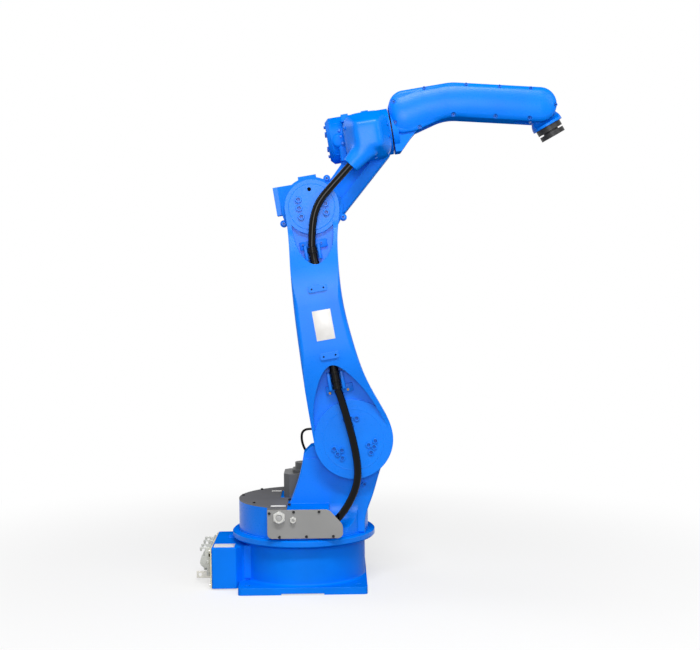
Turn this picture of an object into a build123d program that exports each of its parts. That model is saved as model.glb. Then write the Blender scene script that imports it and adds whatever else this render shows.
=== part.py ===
"""Six-axis industrial robot arm, floor mounted, in the pose of the photograph.

Millimetres, +Z up, +X the way the arm reaches, origin on the swing axis at the
base's mounting face. Each casting, cover, motor and fitting is its own solid.
"""
import math
import os

from build123d import *

# Kinematic dimensions
SHOULDER_OFFSET = 160.0
SHOULDER_HEIGHT = 465.0
ARM_LENGTH = 720.0
ARM_LEAN = 9.5
ELBOW_OFFSET = 200.0
FOREARM_LENGTH = 750.0
FOREARM_TILT = 9.0
TOOL_DROP = 61.0

# Clearances and shared fits
JOINT_GAP = 5.0
SPIGOT_GAP = 0.3
OVERRUN = 60.0

# Depths from the swing axis, positive towards the side the arm is on
COLUMN_BACK = 20.0
COLUMN_FRONT = 110.0
HUB_FACE = 158.0
POCKET_FLOOR = 146.0
ARM_SKIN = 205.0
HOSE_DEPTH = 176.0

# Base casting
PLATE_LENGTH = 394.0
PLATE_WIDTH = 414.0
PLATE_THICKNESS = 22.0
PLATE_CORNER = 12.0
RELIEF_WIDTH = 130.0
RELIEF_DEPTH = 4.0
BASE_HOLE_SPACING = 340.0
BASE_HOLE_RADIUS = 9.0
BASE_DRUM_RADIUS = 193.0
BASE_DRUM_TOP = 141.0
BOX_REACH = 283.0
BOX_WIDTH = 262.0
BOX_TOP = 131.0
BOX_EDGE = 6.0
BOX_TOP_EDGE = 4.0
DRUM_EDGE = 4.0
DRUM_ROOT = 8.0
NECK_START = 207.0
NECK_HEEL = 187.0
NECK_WIDTH = 194.0
NECK_BEND = 18.0
PAD_REACH = 165.0
PAD_LENGTH = 36.0
PAD_WIDTH = 206.0
PAD_BOTTOM = 30.0
STOP_REACH = 214.0
STOP_SIDE = 42.0
STOP_LENGTH = 56.0
STOP_WIDTH = 34.0
STOP_HEIGHT = 9.0

# Connector panel, plugs and earth tab on the back of the base
PANEL_THICKNESS = 4.0
PANEL_MARGIN = 3.0
PLUG_WIDTH = 44.0
PLUG_HEIGHT = 92.0
PLUG_DEPTH = 24.0
PLUG_SPACING = 110.0
PLUG_CENTRE = 78.0
HOOD_DEPTH = 18.0
HOOD_INSET = 5.0
EARTH_TAB_REACH = 56.0
EARTH_TAB_HEIGHT = 22.0
EARTH_TAB_THICKNESS = 5.0
EARTH_TAB_BOTTOM = 9.0
EARTH_TAB_HOLE = 5.5

# Swing casting
RING_RADIUS = 225.0
RING_HEIGHT = 22.0
RING_EDGE = 4.0
TABLE_RADIUS = 204.0
TABLE_TOP = 262.0
SWING_SPIGOT_RADIUS = 120.0
SWING_SPIGOT_DEPTH = 12.0
LEDGE_LEFT = 104.0
LEDGE_RIGHT = 82.0
LEDGE_FRONT = 216.0
LEDGE_LIFT = 7.0
FOOT_STEP = 14.0
CHANNEL_LEFT = 30.0
CHANNEL_TOP = 242.0
CHANNEL_BACK = 150.0
COLUMN_LEFT = 40.0
COLUMN_LEFT_BULGE = 6.0
COLUMN_RIGHT = 193.0
COLUMN_SHOULDER_X = 5.0
COLUMN_SHOULDER_Z = 415.0
COLUMN_STEP = 22.0
COLUMN_HUB_RADIUS = 118.0
COLUMN_FLARE_ANGLE = 32.0
COLUMN_FLARE_X = 217.0
COLUMN_FLARE_Z = 282.0
COLUMN_FOOT_Z = 190.0
COLUMN_RECESS = 6.0
COLUMN_RECESS_DROP = 22.0
COLUMN_EDGE = 6.0
COVE_RADIUS = 80.0

# Deck and side cover of the swing casting
COVER_THICKNESS = 4.0
DECK_EDGE = 45.0
DECK_GAP = 5.0
DECK_OPENING = 150.0
SIDE_COVER_RIGHT = 124.0
SIDE_COVER_SHOULDER = 215.0
SIDE_COVER_TOP_RIGHT = 82.0
SIDE_COVER_CORNER = 16.0
SIDE_COVER_BEND = 28.0
GLAND_X = -68.0
GLAND_Z = 240.0
GLAND_RADIUS = 20.0
GLAND_HEIGHT = 16.0
GLAND_BORE = 11.0
SMALL_GLAND_X = -26.0
SMALL_GLAND_Z = 232.0
SMALL_GLAND_RADIUS = 10.5
SMALL_GLAND_HEIGHT = 12.0
SMALL_GLAND_BORE = 5.0
GLAND_BORE_DEPTH = 4.0

# Motors
SWING_MOTOR_X = 3.0
SWING_MOTOR_Y = 55.0
MOTOR_SQUARE = 130.0
MOTOR_CHAMFER = 18.0
SWING_MOTOR_TOP = 338.0
ENCODER_SQUARE = 76.0
ENCODER_STEP = 10.0
ENCODER_RADIUS = 30.0
ENCODER_HEIGHT = 20.0
SHOULDER_MOTOR_LENGTH = 165.0
ELBOW_MOTOR_SQUARE = 100.0
ELBOW_MOTOR_LENGTH = 115.0

# Lower arm
SHOULDER_RADIUS = 121.0
SHOULDER_SPIGOT_RADIUS = 80.0
SHOULDER_SPIGOT_DEPTH = 20.0
ELBOW_RADIUS = 83.0
ELBOW_SPIGOT_RADIUS = 58.0
ELBOW_SPIGOT_DEPTH = 15.0
ARM_EDGE = 14.0
LOWER_RAMP_START = 30.0
LOWER_RAMP_END = 230.0
UPPER_RAMP_START = 60.0
UPPER_RAMP_END = 195.0
RAMP_ROOT_BEND = 100.0
RAMP_CREST_BEND = 560.0
RAMP_CREST_RUN = 120.0
BOSS_LENGTH = 56.0
BOSS_WIDTH = 20.0
BOSS_HEIGHT = 4.0
BOSS_ROOT = 5.0
BOSS_CORNER = 5.0
BOSS_ACROSS = -26.0
LOWER_BOSS_OFFSET = 268.0
UPPER_BOSS_DROP = 246.0
ARM_LEFT_SHARES = ((-0.942, 0.422), (-0.818, 0.733))
ARM_RIGHT_SHARES = (
    (0.579, 0.910), (0.401, 0.731), (0.355, 0.576),
    (0.421, 0.417), (0.603, 0.235), (0.860, 0.108),
)
LOWER_POCKET_LENGTH = 238.0
UPPER_POCKET_LENGTH = 174.0
LOWER_POCKET_SHARES = (
    (-0.934, 0.0), (-0.917, 0.290), (-0.744, 0.664), (-0.190, 1.0),
    (0.231, 0.819), (0.702, 0.374), (0.959, 0.0),
)
UPPER_POCKET_SHARES = (
    (-0.867, 0.0), (-0.855, -0.253), (-0.675, -0.799), (-0.217, -1.0),
    (0.241, -0.897), (0.627, -0.460), (0.723, 0.0),
)

# Hoses and their fittings
HOSE_RADIUS = 11.5
HOSE_ACROSS = -21.0
HOSE_START_Z = 196.0
HOSE_START_RUN = 43.0
HOSE_START_BEND = 85.0
HOSE_SWEEP_X = 198.0
HOSE_SWEEP_Z = 317.0
HOSE_SWEEP_BEND = 195.0
HOSE_JOIN_ALONG = 130.0
HOSE_JOIN_BEND = 300.0
UPPER_HOSE_CORNER_DROP = 21.0
UPPER_HOSE_BEND = 190.0
UPPER_HOSE_RUN = 230.0
FITTING_RADIUS = 15.0
FITTING_GAP = 1.0
LOWER_FITTING_START = 162.0
LOWER_FITTING_LENGTH = 85.0
UPPER_FITTING_LENGTH = 89.0
UPPER_FITTING_DROP = 120.0
BRACKET_ACROSS = -15.0
BRACKET_WIDTH = 84.0
BRACKET_HEIGHT = 26.0
BRACKET_THICKNESS = 5.0
BRACKET_CORNER = 7.0
CHEEK_GAP = 0.5
CHEEK_THICKNESS = 5.0
CHEEK_FACE = 178.0
LOWER_BRACKET_OFFSET = 160.0
LOWER_CHEEK_LENGTH = 55.0
UPPER_BRACKET_DROP = 113.0
UPPER_CHEEK_LENGTH = -36.0

# Cable loop from the shoulder motor down to the deck
CABLE_RADIUS = 4.0
CABLE_TOP_BEND = 40.0
CABLE_LOW_BEND = 100.0
CABLE_ROUTE = (
    (95.0, 126.0, 462.0), (-5.0, 126.0, 462.0), (4.0, 134.0, 392.0),
    (44.0, 146.0, 330.0), (44.0, 146.0, 266.0),
)

# Elbow casting
ELBOW_HUB_RADIUS = 94.0
ELBOW_HUB_STEP = 40.0
ELBOW_REAR_RADIUS = 80.0
ELBOW_HUB_BACK = 40.0
WEB_BACK = 40.0
WEB_FRONT = 75.0
WEB_LOW_U = 94.0
WEB_LOW_N = -34.0
WEB_NOSE_U = 266.0
WEB_NOSE_N = 122.0
WEB_HEEL_U = 72.0
WEB_HEEL_N = 81.0
WEB_NECK_U = 112.0
WEB_NECK_N = 121.0
WEB_POCKET_DEPTH = 14.0
WEB_BORDER_WIDTH = 24.0
WEB_POCKET_TOP = 128.0
WEB_POCKET_CORNER = 12.0
WEB_EDGE = 6.0
HOUSING_RADIUS = 72.0
HOUSING_START = 98.0
HOUSING_END = 281.0
REAR_COVER_LENGTH = 16.0
REAR_COVER_CHAMFER = 12.0
LUG_REACH = 100.0
LUG_RADIUS = 11.0
LUG_LENGTH = 24.0
LUG_ANGLES = (53.5, -26.7, -106.7, 200.0)
TOP_BLOCK_WIDTH = 56.0
TOP_BLOCK_HEIGHT = 99.0
TOP_BLOCK_DEPTH = 44.0
BOX_SEAT_U = 95.0
BOX_COVER_U = 110.0
BOX_LOW_N = -7.0
BOX_HIGH_N = 80.0
BOX_BACK = 46.0
BOX_FRONT = 100.0
EAR_U = (145.0, 208.0)
EAR_N = 256.0
EAR_LENGTH = 22.0
EAR_HEIGHT = 22.0
EAR_DEPTH = 26.0
FOREARM_SPIGOT_RADIUS = 50.0
FOREARM_SPIGOT_DEPTH = 15.0

# Roll drive cover on the elbow's near side
GEAR_COVER_U = 203.0
GEAR_COVER_N = 186.0
GEAR_COVER_LENGTH = 142.0
GEAR_COVER_HEIGHT = 148.0
GEAR_COVER_CORNER = 42.0
GEAR_COVER_SEAT = 92.0
GEAR_COVER_WALL = 45.0
GEAR_COVER_CROWN = 57.0
GEAR_COVER_TAPER = 30.0
GEAR_COVER_EDGE = 16.0
GEAR_COVER_CROWN_EDGE = 12.0
SPOUT_ANGLE = 38.3
SPOUT_WIDTH = 26.0
SPOUT_DEPTH = 19.0
SPOUT_ROOT_WIDTH = 40.0
SPOUT_ROOT_DEPTH = 24.0
SPOUT_ROOT_DROP = 8.0
SPOUT_LENGTH = 80.0
SPOUT_BORE_GAP = 2.0
SPOUT_BORE_DEPTH = 30.0

# Forearm
FOREARM_DRUM_RADIUS = 70.0
FOREARM_DRUM_LENGTH = 18.0
FOREARM_HALF_DEPTH = 52.0
FOREARM_COVER_DEPTH = 20.0
FOREARM_COVER_EDGE = 14.0
FOREARM_TOP = 113.0
FOREARM_END_RADIUS = 53.0
WRIST_SLOT_START = 76.0
FOREARM_BEND = 12.7
CROWN_BEND_RADIUS = 160.0
BELLY_BEND_RADIUS = 150.0
CASTING_BELLY_U = 398.0
CASTING_NOSE_RADIUS = 48.0
CASTING_HEEL_RADIUS = 4.0
COVER_NOSE_U = 289.0
COVER_LOW = -17.0
COVER_STEP_U = 359.0
COVER_STEP_RADIUS = 80.0
COVER_BELLY_U = 461.0
COVER_NOSE_RADIUS = 45.0
COVER_HEEL_RADIUS = 32.0

# Wrist and flange
WRIST_HALF_WIDTH = 33.0
WRIST_RADIUS = 50.0
WRIST_NECK = 44.0
TRUNNION_RADIUS = 25.0
TRUNNION_LENGTH = 9.0
COLLAR_RADIUS = 49.5
COLLAR_START = 63.0
COLLAR_END = 70.0
GEAR_RING_RADIUS = 41.0
GEAR_RING_LENGTH = 17.0
TOOL_SPIGOT_RADIUS = 25.0
TOOL_SPIGOT_DEPTH = 6.0
FLANGE_RADIUS = 40.0
FLANGE_LENGTH = 15.0
FLANGE_PILOT_RADIUS = 20.0
FLANGE_PILOT_DEPTH = 5.0
FLANGE_HOLE_REACH = 31.5
FLANGE_HOLE_RADIUS = 2.5
FLANGE_HOLE_DEPTH = 8.0
FLANGE_HOLE_COUNT = 4

# Derived places
ARM_BACK = COLUMN_FRONT + JOINT_GAP
UPPER_FITTING_END = ARM_LENGTH - UPPER_FITTING_DROP
RING_BOTTOM = BASE_DRUM_TOP + JOINT_GAP
RING_TOP = RING_BOTTOM + RING_HEIGHT
LEAN = math.radians(ARM_LEAN)
TILT = math.radians(FOREARM_TILT)
SHOULDER = (SHOULDER_OFFSET, SHOULDER_HEIGHT)
ELBOW = (
    SHOULDER_OFFSET - ARM_LENGTH * math.sin(LEAN),
    SHOULDER_HEIGHT + ARM_LENGTH * math.cos(LEAN),
)
ROLL = (
    ELBOW[0] - ELBOW_OFFSET * math.sin(TILT),
    ELBOW[1] + ELBOW_OFFSET * math.cos(TILT),
)
WRIST = (
    ROLL[0] + FOREARM_LENGTH * math.cos(TILT),
    ROLL[1] + FOREARM_LENGTH * math.sin(TILT),
)


def side_plane(place, turn, depth):
    """Return a plane facing the arm's side, its x axis raised by turn degrees."""
    rise = math.radians(turn)
    return Plane(
        origin=(place[0], -depth, place[1]),
        x_dir=(math.cos(rise), 0, math.sin(rise)),
        z_dir=(0, -1, 0),
    )


def axis_plane(place, turn, run, depth=0):
    """Return a plane square to an axis that rises by turn degrees, run along it."""
    rise = math.radians(turn)
    return Plane(
        origin=(place[0] + run * math.cos(rise), -depth, place[1] + run * math.sin(rise)),
        x_dir=(0, 1, 0),
        z_dir=(math.cos(rise), 0, math.sin(rise)),
    )


def arm_spot(across, along):
    """Return the x and z of a point given across and along the lower arm."""
    return (
        SHOULDER[0] + across * math.cos(LEAN) - along * math.sin(LEAN),
        SHOULDER[1] + across * math.sin(LEAN) + along * math.cos(LEAN),
    )


def spread(shares, width, height, base=0):
    """Return outline points from shares of a width and of a height above a base."""
    return [(width * share[0], base + height * share[1]) for share in shares]


# Base
with BuildPart() as base_box:
    with BuildSketch(Plane.XY.offset(RELIEF_DEPTH)):
        with BuildLine():
            FilletPolyline(
                (0, NECK_WIDTH / 2),
                (-NECK_HEEL, NECK_WIDTH / 2),
                (-NECK_START, BOX_WIDTH / 2),
                (-BOX_REACH, BOX_WIDTH / 2),
                (-BOX_REACH, -BOX_WIDTH / 2),
                (-NECK_START, -BOX_WIDTH / 2),
                (-NECK_HEEL, -NECK_WIDTH / 2),
                (0, -NECK_WIDTH / 2),
                radius=(NECK_BEND, BOX_EDGE, BOX_EDGE, BOX_EDGE, BOX_EDGE, NECK_BEND),
            )
            Line((0, -NECK_WIDTH / 2), (0, NECK_WIDTH / 2))
        make_face()
    extrude(amount=BOX_TOP - RELIEF_DEPTH)
    fillet(base_box.faces().sort_by(Axis.Z)[-1].edges(), BOX_TOP_EDGE)

with BuildPart() as base_casting:
    with BuildSketch(Plane.XY):
        RectangleRounded(PLATE_LENGTH, PLATE_WIDTH, PLATE_CORNER)
        with GridLocations(BASE_HOLE_SPACING, BASE_HOLE_SPACING, 2, 2):
            Circle(BASE_HOLE_RADIUS, mode=Mode.SUBTRACT)
    extrude(amount=PLATE_THICKNESS)
    with BuildSketch(Plane.XY):
        Rectangle(RELIEF_WIDTH, PLATE_WIDTH)
        Rectangle(PLATE_LENGTH, RELIEF_WIDTH)
    extrude(amount=RELIEF_DEPTH, mode=Mode.SUBTRACT)
    with BuildSketch(Plane.XY.offset(PLATE_THICKNESS)):
        Circle(BASE_DRUM_RADIUS)
    extrude(amount=BASE_DRUM_TOP - PLATE_THICKNESS)
    chamfer(base_casting.faces().filter_by(Axis.Z).sort_by(Axis.Z)[-1].edges(), DRUM_EDGE)
    drum_rims = base_casting.edges().filter_by(GeomType.CIRCLE)
    fillet(drum_rims.filter_by(lambda rim: rim.radius == BASE_DRUM_RADIUS).sort_by(Axis.Z)[0], DRUM_ROOT)
    add(base_box.part)
    with BuildSketch(Plane.XY.offset(PAD_BOTTOM)):
        with Locations((-PAD_REACH, 0)):
            Rectangle(PAD_LENGTH, PAD_WIDTH)
    extrude(amount=BOX_TOP - PAD_BOTTOM)
    with BuildSketch(Plane.XY.offset(BOX_TOP)):
        with Locations((-STOP_REACH, STOP_SIDE)):
            Rectangle(STOP_LENGTH, STOP_WIDTH)
    extrude(amount=STOP_HEIGHT)

with BuildPart() as swing_reducer:
    with BuildSketch(Plane.XY.offset(BASE_DRUM_TOP)):
        Circle(SWING_SPIGOT_RADIUS)
    extrude(amount=JOINT_GAP + SWING_SPIGOT_DEPTH - SPIGOT_GAP)

BACK_PLANE = Plane(origin=(-BOX_REACH, 0, 0), x_dir=(0, -1, 0), z_dir=(-1, 0, 0))
PANEL_HEIGHT = BOX_TOP - RELIEF_DEPTH - 2 * PANEL_MARGIN
PANEL_CENTRE = (BOX_TOP + RELIEF_DEPTH) / 2

with BuildPart() as connector_panel:
    with BuildSketch(BACK_PLANE):
        with Locations((0, PANEL_CENTRE)):
            Rectangle(BOX_WIDTH - 2 * PANEL_MARGIN, PANEL_HEIGHT)
    extrude(amount=PANEL_THICKNESS)


def make_plug(side):
    """Return one connector: its housing on the panel and its hood."""
    with BuildPart() as housing:
        with BuildSketch(BACK_PLANE.offset(PANEL_THICKNESS)):
            with Locations((side * PLUG_SPACING / 2, PLUG_CENTRE)):
                Rectangle(PLUG_WIDTH, PLUG_HEIGHT)
        extrude(amount=PLUG_DEPTH)
    with BuildPart() as hood:
        with BuildSketch(BACK_PLANE.offset(PANEL_THICKNESS + PLUG_DEPTH)):
            with Locations((side * PLUG_SPACING / 2, PLUG_CENTRE)):
                Rectangle(PLUG_WIDTH - 2 * HOOD_INSET, PLUG_HEIGHT - 2 * HOOD_INSET)
        extrude(amount=HOOD_DEPTH)
    return housing.part, hood.part


plug_near, hood_near = make_plug(1)
plug_far, hood_far = make_plug(-1)

with BuildPart() as earth_tab:
    with BuildSketch(side_plane((-BOX_REACH - PANEL_THICKNESS, 0), 0, 0)):
        with Locations((-EARTH_TAB_REACH / 2, EARTH_TAB_BOTTOM + EARTH_TAB_HEIGHT / 2)):
            Rectangle(EARTH_TAB_REACH, EARTH_TAB_HEIGHT)
        with Locations(
            (-EARTH_TAB_REACH + EARTH_TAB_HEIGHT / 2, EARTH_TAB_BOTTOM + EARTH_TAB_HEIGHT / 2)
        ):
            Circle(EARTH_TAB_HOLE, mode=Mode.SUBTRACT)
    extrude(amount=EARTH_TAB_THICKNESS)

# Swing casting with the shoulder column
FLARE = math.radians(COLUMN_FLARE_ANGLE)
FLARE_START = (
    SHOULDER[0] + COLUMN_HUB_RADIUS * math.cos(FLARE),
    SHOULDER[1] - COLUMN_HUB_RADIUS * math.sin(FLARE),
)
with BuildPart() as column:
    with BuildSketch(side_plane((0, 0), 0, COLUMN_BACK)):
        with BuildLine():
            ThreePointArc(
                (-COLUMN_LEFT, TABLE_TOP),
                (
                    (COLUMN_SHOULDER_X - COLUMN_LEFT) / 2 + COLUMN_LEFT_BULGE,
                    (COLUMN_SHOULDER_Z + TABLE_TOP) / 2,
                ),
                (COLUMN_SHOULDER_X, COLUMN_SHOULDER_Z),
            )
            Polyline(
                (COLUMN_SHOULDER_X, COLUMN_SHOULDER_Z),
                (COLUMN_SHOULDER_X + COLUMN_STEP, COLUMN_SHOULDER_Z + COLUMN_STEP),
                SHOULDER,
                FLARE_START,
            )
            Spline(
                FLARE_START,
                (COLUMN_FLARE_X, COLUMN_FLARE_Z),
                (COLUMN_RIGHT, COLUMN_FOOT_Z),
                tangents=((-math.sin(FLARE), -math.cos(FLARE)), (0, -1)),
            )
            Polyline(
                (COLUMN_RIGHT, COLUMN_FOOT_Z),
                (COLUMN_RIGHT, RING_TOP),
                (-COLUMN_LEFT, RING_TOP),
                (-COLUMN_LEFT, TABLE_TOP),
            )
        make_face()
        with Locations(SHOULDER):
            Circle(COLUMN_HUB_RADIUS)
    extrude(amount=COLUMN_FRONT - COLUMN_BACK)
    fillet(column.faces().sort_by(Axis.Y)[0].edges(), COLUMN_EDGE)

FOOT_TOP = RING_TOP + FOOT_STEP
with BuildPart() as foot_cove:
    with BuildSketch(Plane.YZ.offset(LEDGE_RIGHT)):
        with BuildLine():
            Polyline(
                (-COLUMN_FRONT, FOOT_TOP + COVE_RADIUS),
                (-COLUMN_BACK, FOOT_TOP + COVE_RADIUS),
                (-COLUMN_BACK, RING_TOP),
                (-COLUMN_FRONT - COVE_RADIUS, RING_TOP),
                (-COLUMN_FRONT - COVE_RADIUS, FOOT_TOP),
            )
            RadiusArc(
                (-COLUMN_FRONT - COVE_RADIUS, FOOT_TOP),
                (-COLUMN_FRONT, FOOT_TOP + COVE_RADIUS),
                -COVE_RADIUS,
            )
        make_face()
    extrude(amount=COLUMN_RIGHT - LEDGE_RIGHT)
    with BuildSketch(Plane.XY.offset(RING_TOP)):
        Circle(TABLE_RADIUS)
    extrude(amount=FOOT_STEP + COVE_RADIUS, mode=Mode.INTERSECT)

with BuildPart() as swing_casting:
    with BuildSketch(Plane.XY.offset(RING_BOTTOM)):
        Circle(RING_RADIUS)
    extrude(amount=RING_HEIGHT)
    chamfer(swing_casting.edges().filter_by(GeomType.CIRCLE), RING_EDGE)
    with BuildSketch(Plane.XY.offset(RING_TOP)):
        Circle(TABLE_RADIUS)
    extrude(amount=TABLE_TOP - RING_TOP)
    with BuildSketch(Plane.XY.offset(RING_TOP + FOOT_STEP)):
        with Locations((LEDGE_RIGHT, -COLUMN_FRONT)):
            Rectangle(
                TABLE_RADIUS + OVERRUN - LEDGE_RIGHT,
                TABLE_RADIUS + OVERRUN - COLUMN_FRONT,
                align=(Align.MIN, Align.MAX),
            )
    extrude(amount=TABLE_TOP - RING_TOP, mode=Mode.SUBTRACT)
    add(foot_cove.part)
    with BuildSketch(Plane.XY.offset(RING_TOP + LEDGE_LIFT)):
        with Locations(((LEDGE_RIGHT - LEDGE_LEFT) / 2, -LEDGE_FRONT / 2)):
            Rectangle(LEDGE_RIGHT + LEDGE_LEFT, LEDGE_FRONT)
    extrude(amount=TABLE_TOP - RING_TOP - LEDGE_LIFT)
    with BuildSketch(side_plane((0, 0), 0, CHANNEL_BACK)):
        with Locations(((CHANNEL_LEFT + TABLE_RADIUS) / 2, (RING_TOP + FOOT_STEP + CHANNEL_TOP) / 2)):
            Rectangle(TABLE_RADIUS - CHANNEL_LEFT, CHANNEL_TOP - RING_TOP - FOOT_STEP)
    extrude(amount=LEDGE_FRONT + OVERRUN - CHANNEL_BACK, mode=Mode.SUBTRACT)
    add(column.part)
    with BuildSketch(side_plane((0, 0), 0, COLUMN_FRONT - COLUMN_RECESS)):
        with BuildLine():
            Polyline(
                (COLUMN_SHOULDER_X - OVERRUN, COLUMN_SHOULDER_Z - COLUMN_RECESS_DROP),
                (SHOULDER_OFFSET, COLUMN_SHOULDER_Z),
                (SHOULDER_OFFSET, SHOULDER_HEIGHT),
                (COLUMN_SHOULDER_X - OVERRUN, SHOULDER_HEIGHT),
                close=True,
            )
        make_face()
        with Locations(SHOULDER):
            Circle(COLUMN_HUB_RADIUS, mode=Mode.SUBTRACT)
    extrude(amount=COLUMN_FRONT, mode=Mode.SUBTRACT)
    with BuildSketch(Plane.XY.offset(RING_BOTTOM)):
        Circle(SWING_SPIGOT_RADIUS + SPIGOT_GAP)
    extrude(amount=SWING_SPIGOT_DEPTH, mode=Mode.SUBTRACT)

with BuildPart() as deck_cover:
    with BuildSketch(Plane.XY.offset(TABLE_TOP)):
        Circle(TABLE_RADIUS)
        with Locations((-(LEDGE_LEFT + DECK_EDGE) / 2, -(LEDGE_FRONT + COLUMN_FRONT) / 2)):
            Rectangle(LEDGE_LEFT - DECK_EDGE, LEDGE_FRONT - COLUMN_FRONT)
        with Locations((-DECK_EDGE, -COLUMN_BACK + DECK_GAP)):
            Rectangle(
                TABLE_RADIUS + OVERRUN + DECK_EDGE,
                LEDGE_FRONT + OVERRUN - COLUMN_BACK + DECK_GAP,
                align=(Align.MIN, Align.MAX),
                mode=Mode.SUBTRACT,
            )
        with Locations((SWING_MOTOR_X, SWING_MOTOR_Y)):
            Rectangle(DECK_OPENING, DECK_OPENING, mode=Mode.SUBTRACT)
    extrude(amount=COVER_THICKNESS)

SIDE_COVER_BOTTOM = RING_TOP + LEDGE_LIFT
with BuildPart() as side_cover:
    with BuildSketch(side_plane((0, 0), 0, LEDGE_FRONT)) as side_sketch:
        with BuildLine():
            Polyline(
                (-LEDGE_LEFT, TABLE_TOP),
                (-LEDGE_LEFT, SIDE_COVER_BOTTOM),
                (SIDE_COVER_RIGHT, SIDE_COVER_BOTTOM),
                (SIDE_COVER_RIGHT, SIDE_COVER_SHOULDER),
                (SIDE_COVER_TOP_RIGHT, TABLE_TOP),
                close=True,
            )
        make_face()
        fillet(side_sketch.vertices().group_by(Axis.Y)[0], SIDE_COVER_CORNER)
        high_corners = side_sketch.vertices().filter_by_position(Axis.Y, SIDE_COVER_SHOULDER, TABLE_TOP)
        fillet(high_corners.sort_by(Axis.X)[1:], SIDE_COVER_BEND)
    extrude(amount=COVER_THICKNESS)


def make_gland(x, z, radius, height, bore):
    """Return a hexagonal cable gland with a blind plug, on the side cover."""
    with BuildPart() as gland:
        with BuildSketch(side_plane((x, z), 0, LEDGE_FRONT + COVER_THICKNESS)):
            RegularPolygon(radius, 6)
        extrude(amount=height)
        with BuildSketch(side_plane((x, z), 0, LEDGE_FRONT + COVER_THICKNESS + height)):
            Circle(bore)
        extrude(amount=-GLAND_BORE_DEPTH, mode=Mode.SUBTRACT)
    return gland.part


gland_large = make_gland(GLAND_X, GLAND_Z, GLAND_RADIUS, GLAND_HEIGHT, GLAND_BORE)
gland_small = make_gland(
    SMALL_GLAND_X, SMALL_GLAND_Z, SMALL_GLAND_RADIUS, SMALL_GLAND_HEIGHT, SMALL_GLAND_BORE
)


# Motors
def make_motor(plane, square, length):
    """Return a square motor body standing on a plane."""
    with BuildPart() as motor:
        with BuildSketch(plane) as outline:
            Rectangle(square, square)
            chamfer(outline.vertices(), MOTOR_CHAMFER)
        extrude(amount=length)
    return motor.part


def make_encoder(plane):
    """Return the stepped encoder housing on the end of a motor."""
    with BuildPart() as encoder:
        with BuildSketch(plane):
            RectangleRounded(ENCODER_SQUARE, ENCODER_SQUARE, MOTOR_CHAMFER)
        extrude(amount=ENCODER_STEP)
        with BuildSketch(plane.offset(ENCODER_STEP)):
            Circle(ENCODER_RADIUS)
        extrude(amount=ENCODER_HEIGHT)
    return encoder.part


SWING_MOTOR_PLANE = Plane(
    origin=(SWING_MOTOR_X, SWING_MOTOR_Y, TABLE_TOP), x_dir=(1, 0, 0), z_dir=(0, 0, 1)
)
SHOULDER_MOTOR_PLANE = Plane(
    origin=(SHOULDER[0], -COLUMN_BACK, SHOULDER[1]), x_dir=(1, 0, 0), z_dir=(0, 1, 0)
)
ELBOW_MOTOR_PLANE = Plane(
    origin=(ELBOW[0], ELBOW_HUB_BACK, ELBOW[1]),
    x_dir=(math.cos(TILT), 0, math.sin(TILT)),
    z_dir=(0, 1, 0),
)
swing_motor = make_motor(SWING_MOTOR_PLANE, MOTOR_SQUARE, SWING_MOTOR_TOP - TABLE_TOP)
swing_encoder = make_encoder(SWING_MOTOR_PLANE.offset(SWING_MOTOR_TOP - TABLE_TOP))
shoulder_motor = make_motor(SHOULDER_MOTOR_PLANE, MOTOR_SQUARE, SHOULDER_MOTOR_LENGTH)
shoulder_encoder = make_encoder(SHOULDER_MOTOR_PLANE.offset(SHOULDER_MOTOR_LENGTH))
elbow_motor = make_motor(ELBOW_MOTOR_PLANE, ELBOW_MOTOR_SQUARE, ELBOW_MOTOR_LENGTH)
elbow_encoder = make_encoder(ELBOW_MOTOR_PLANE.offset(ELBOW_MOTOR_LENGTH))

with BuildPart() as shoulder_reducer:
    with BuildSketch(side_plane(SHOULDER, 0, COLUMN_FRONT)):
        Circle(SHOULDER_SPIGOT_RADIUS)
    extrude(amount=JOINT_GAP + SHOULDER_SPIGOT_DEPTH - SPIGOT_GAP)

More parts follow.
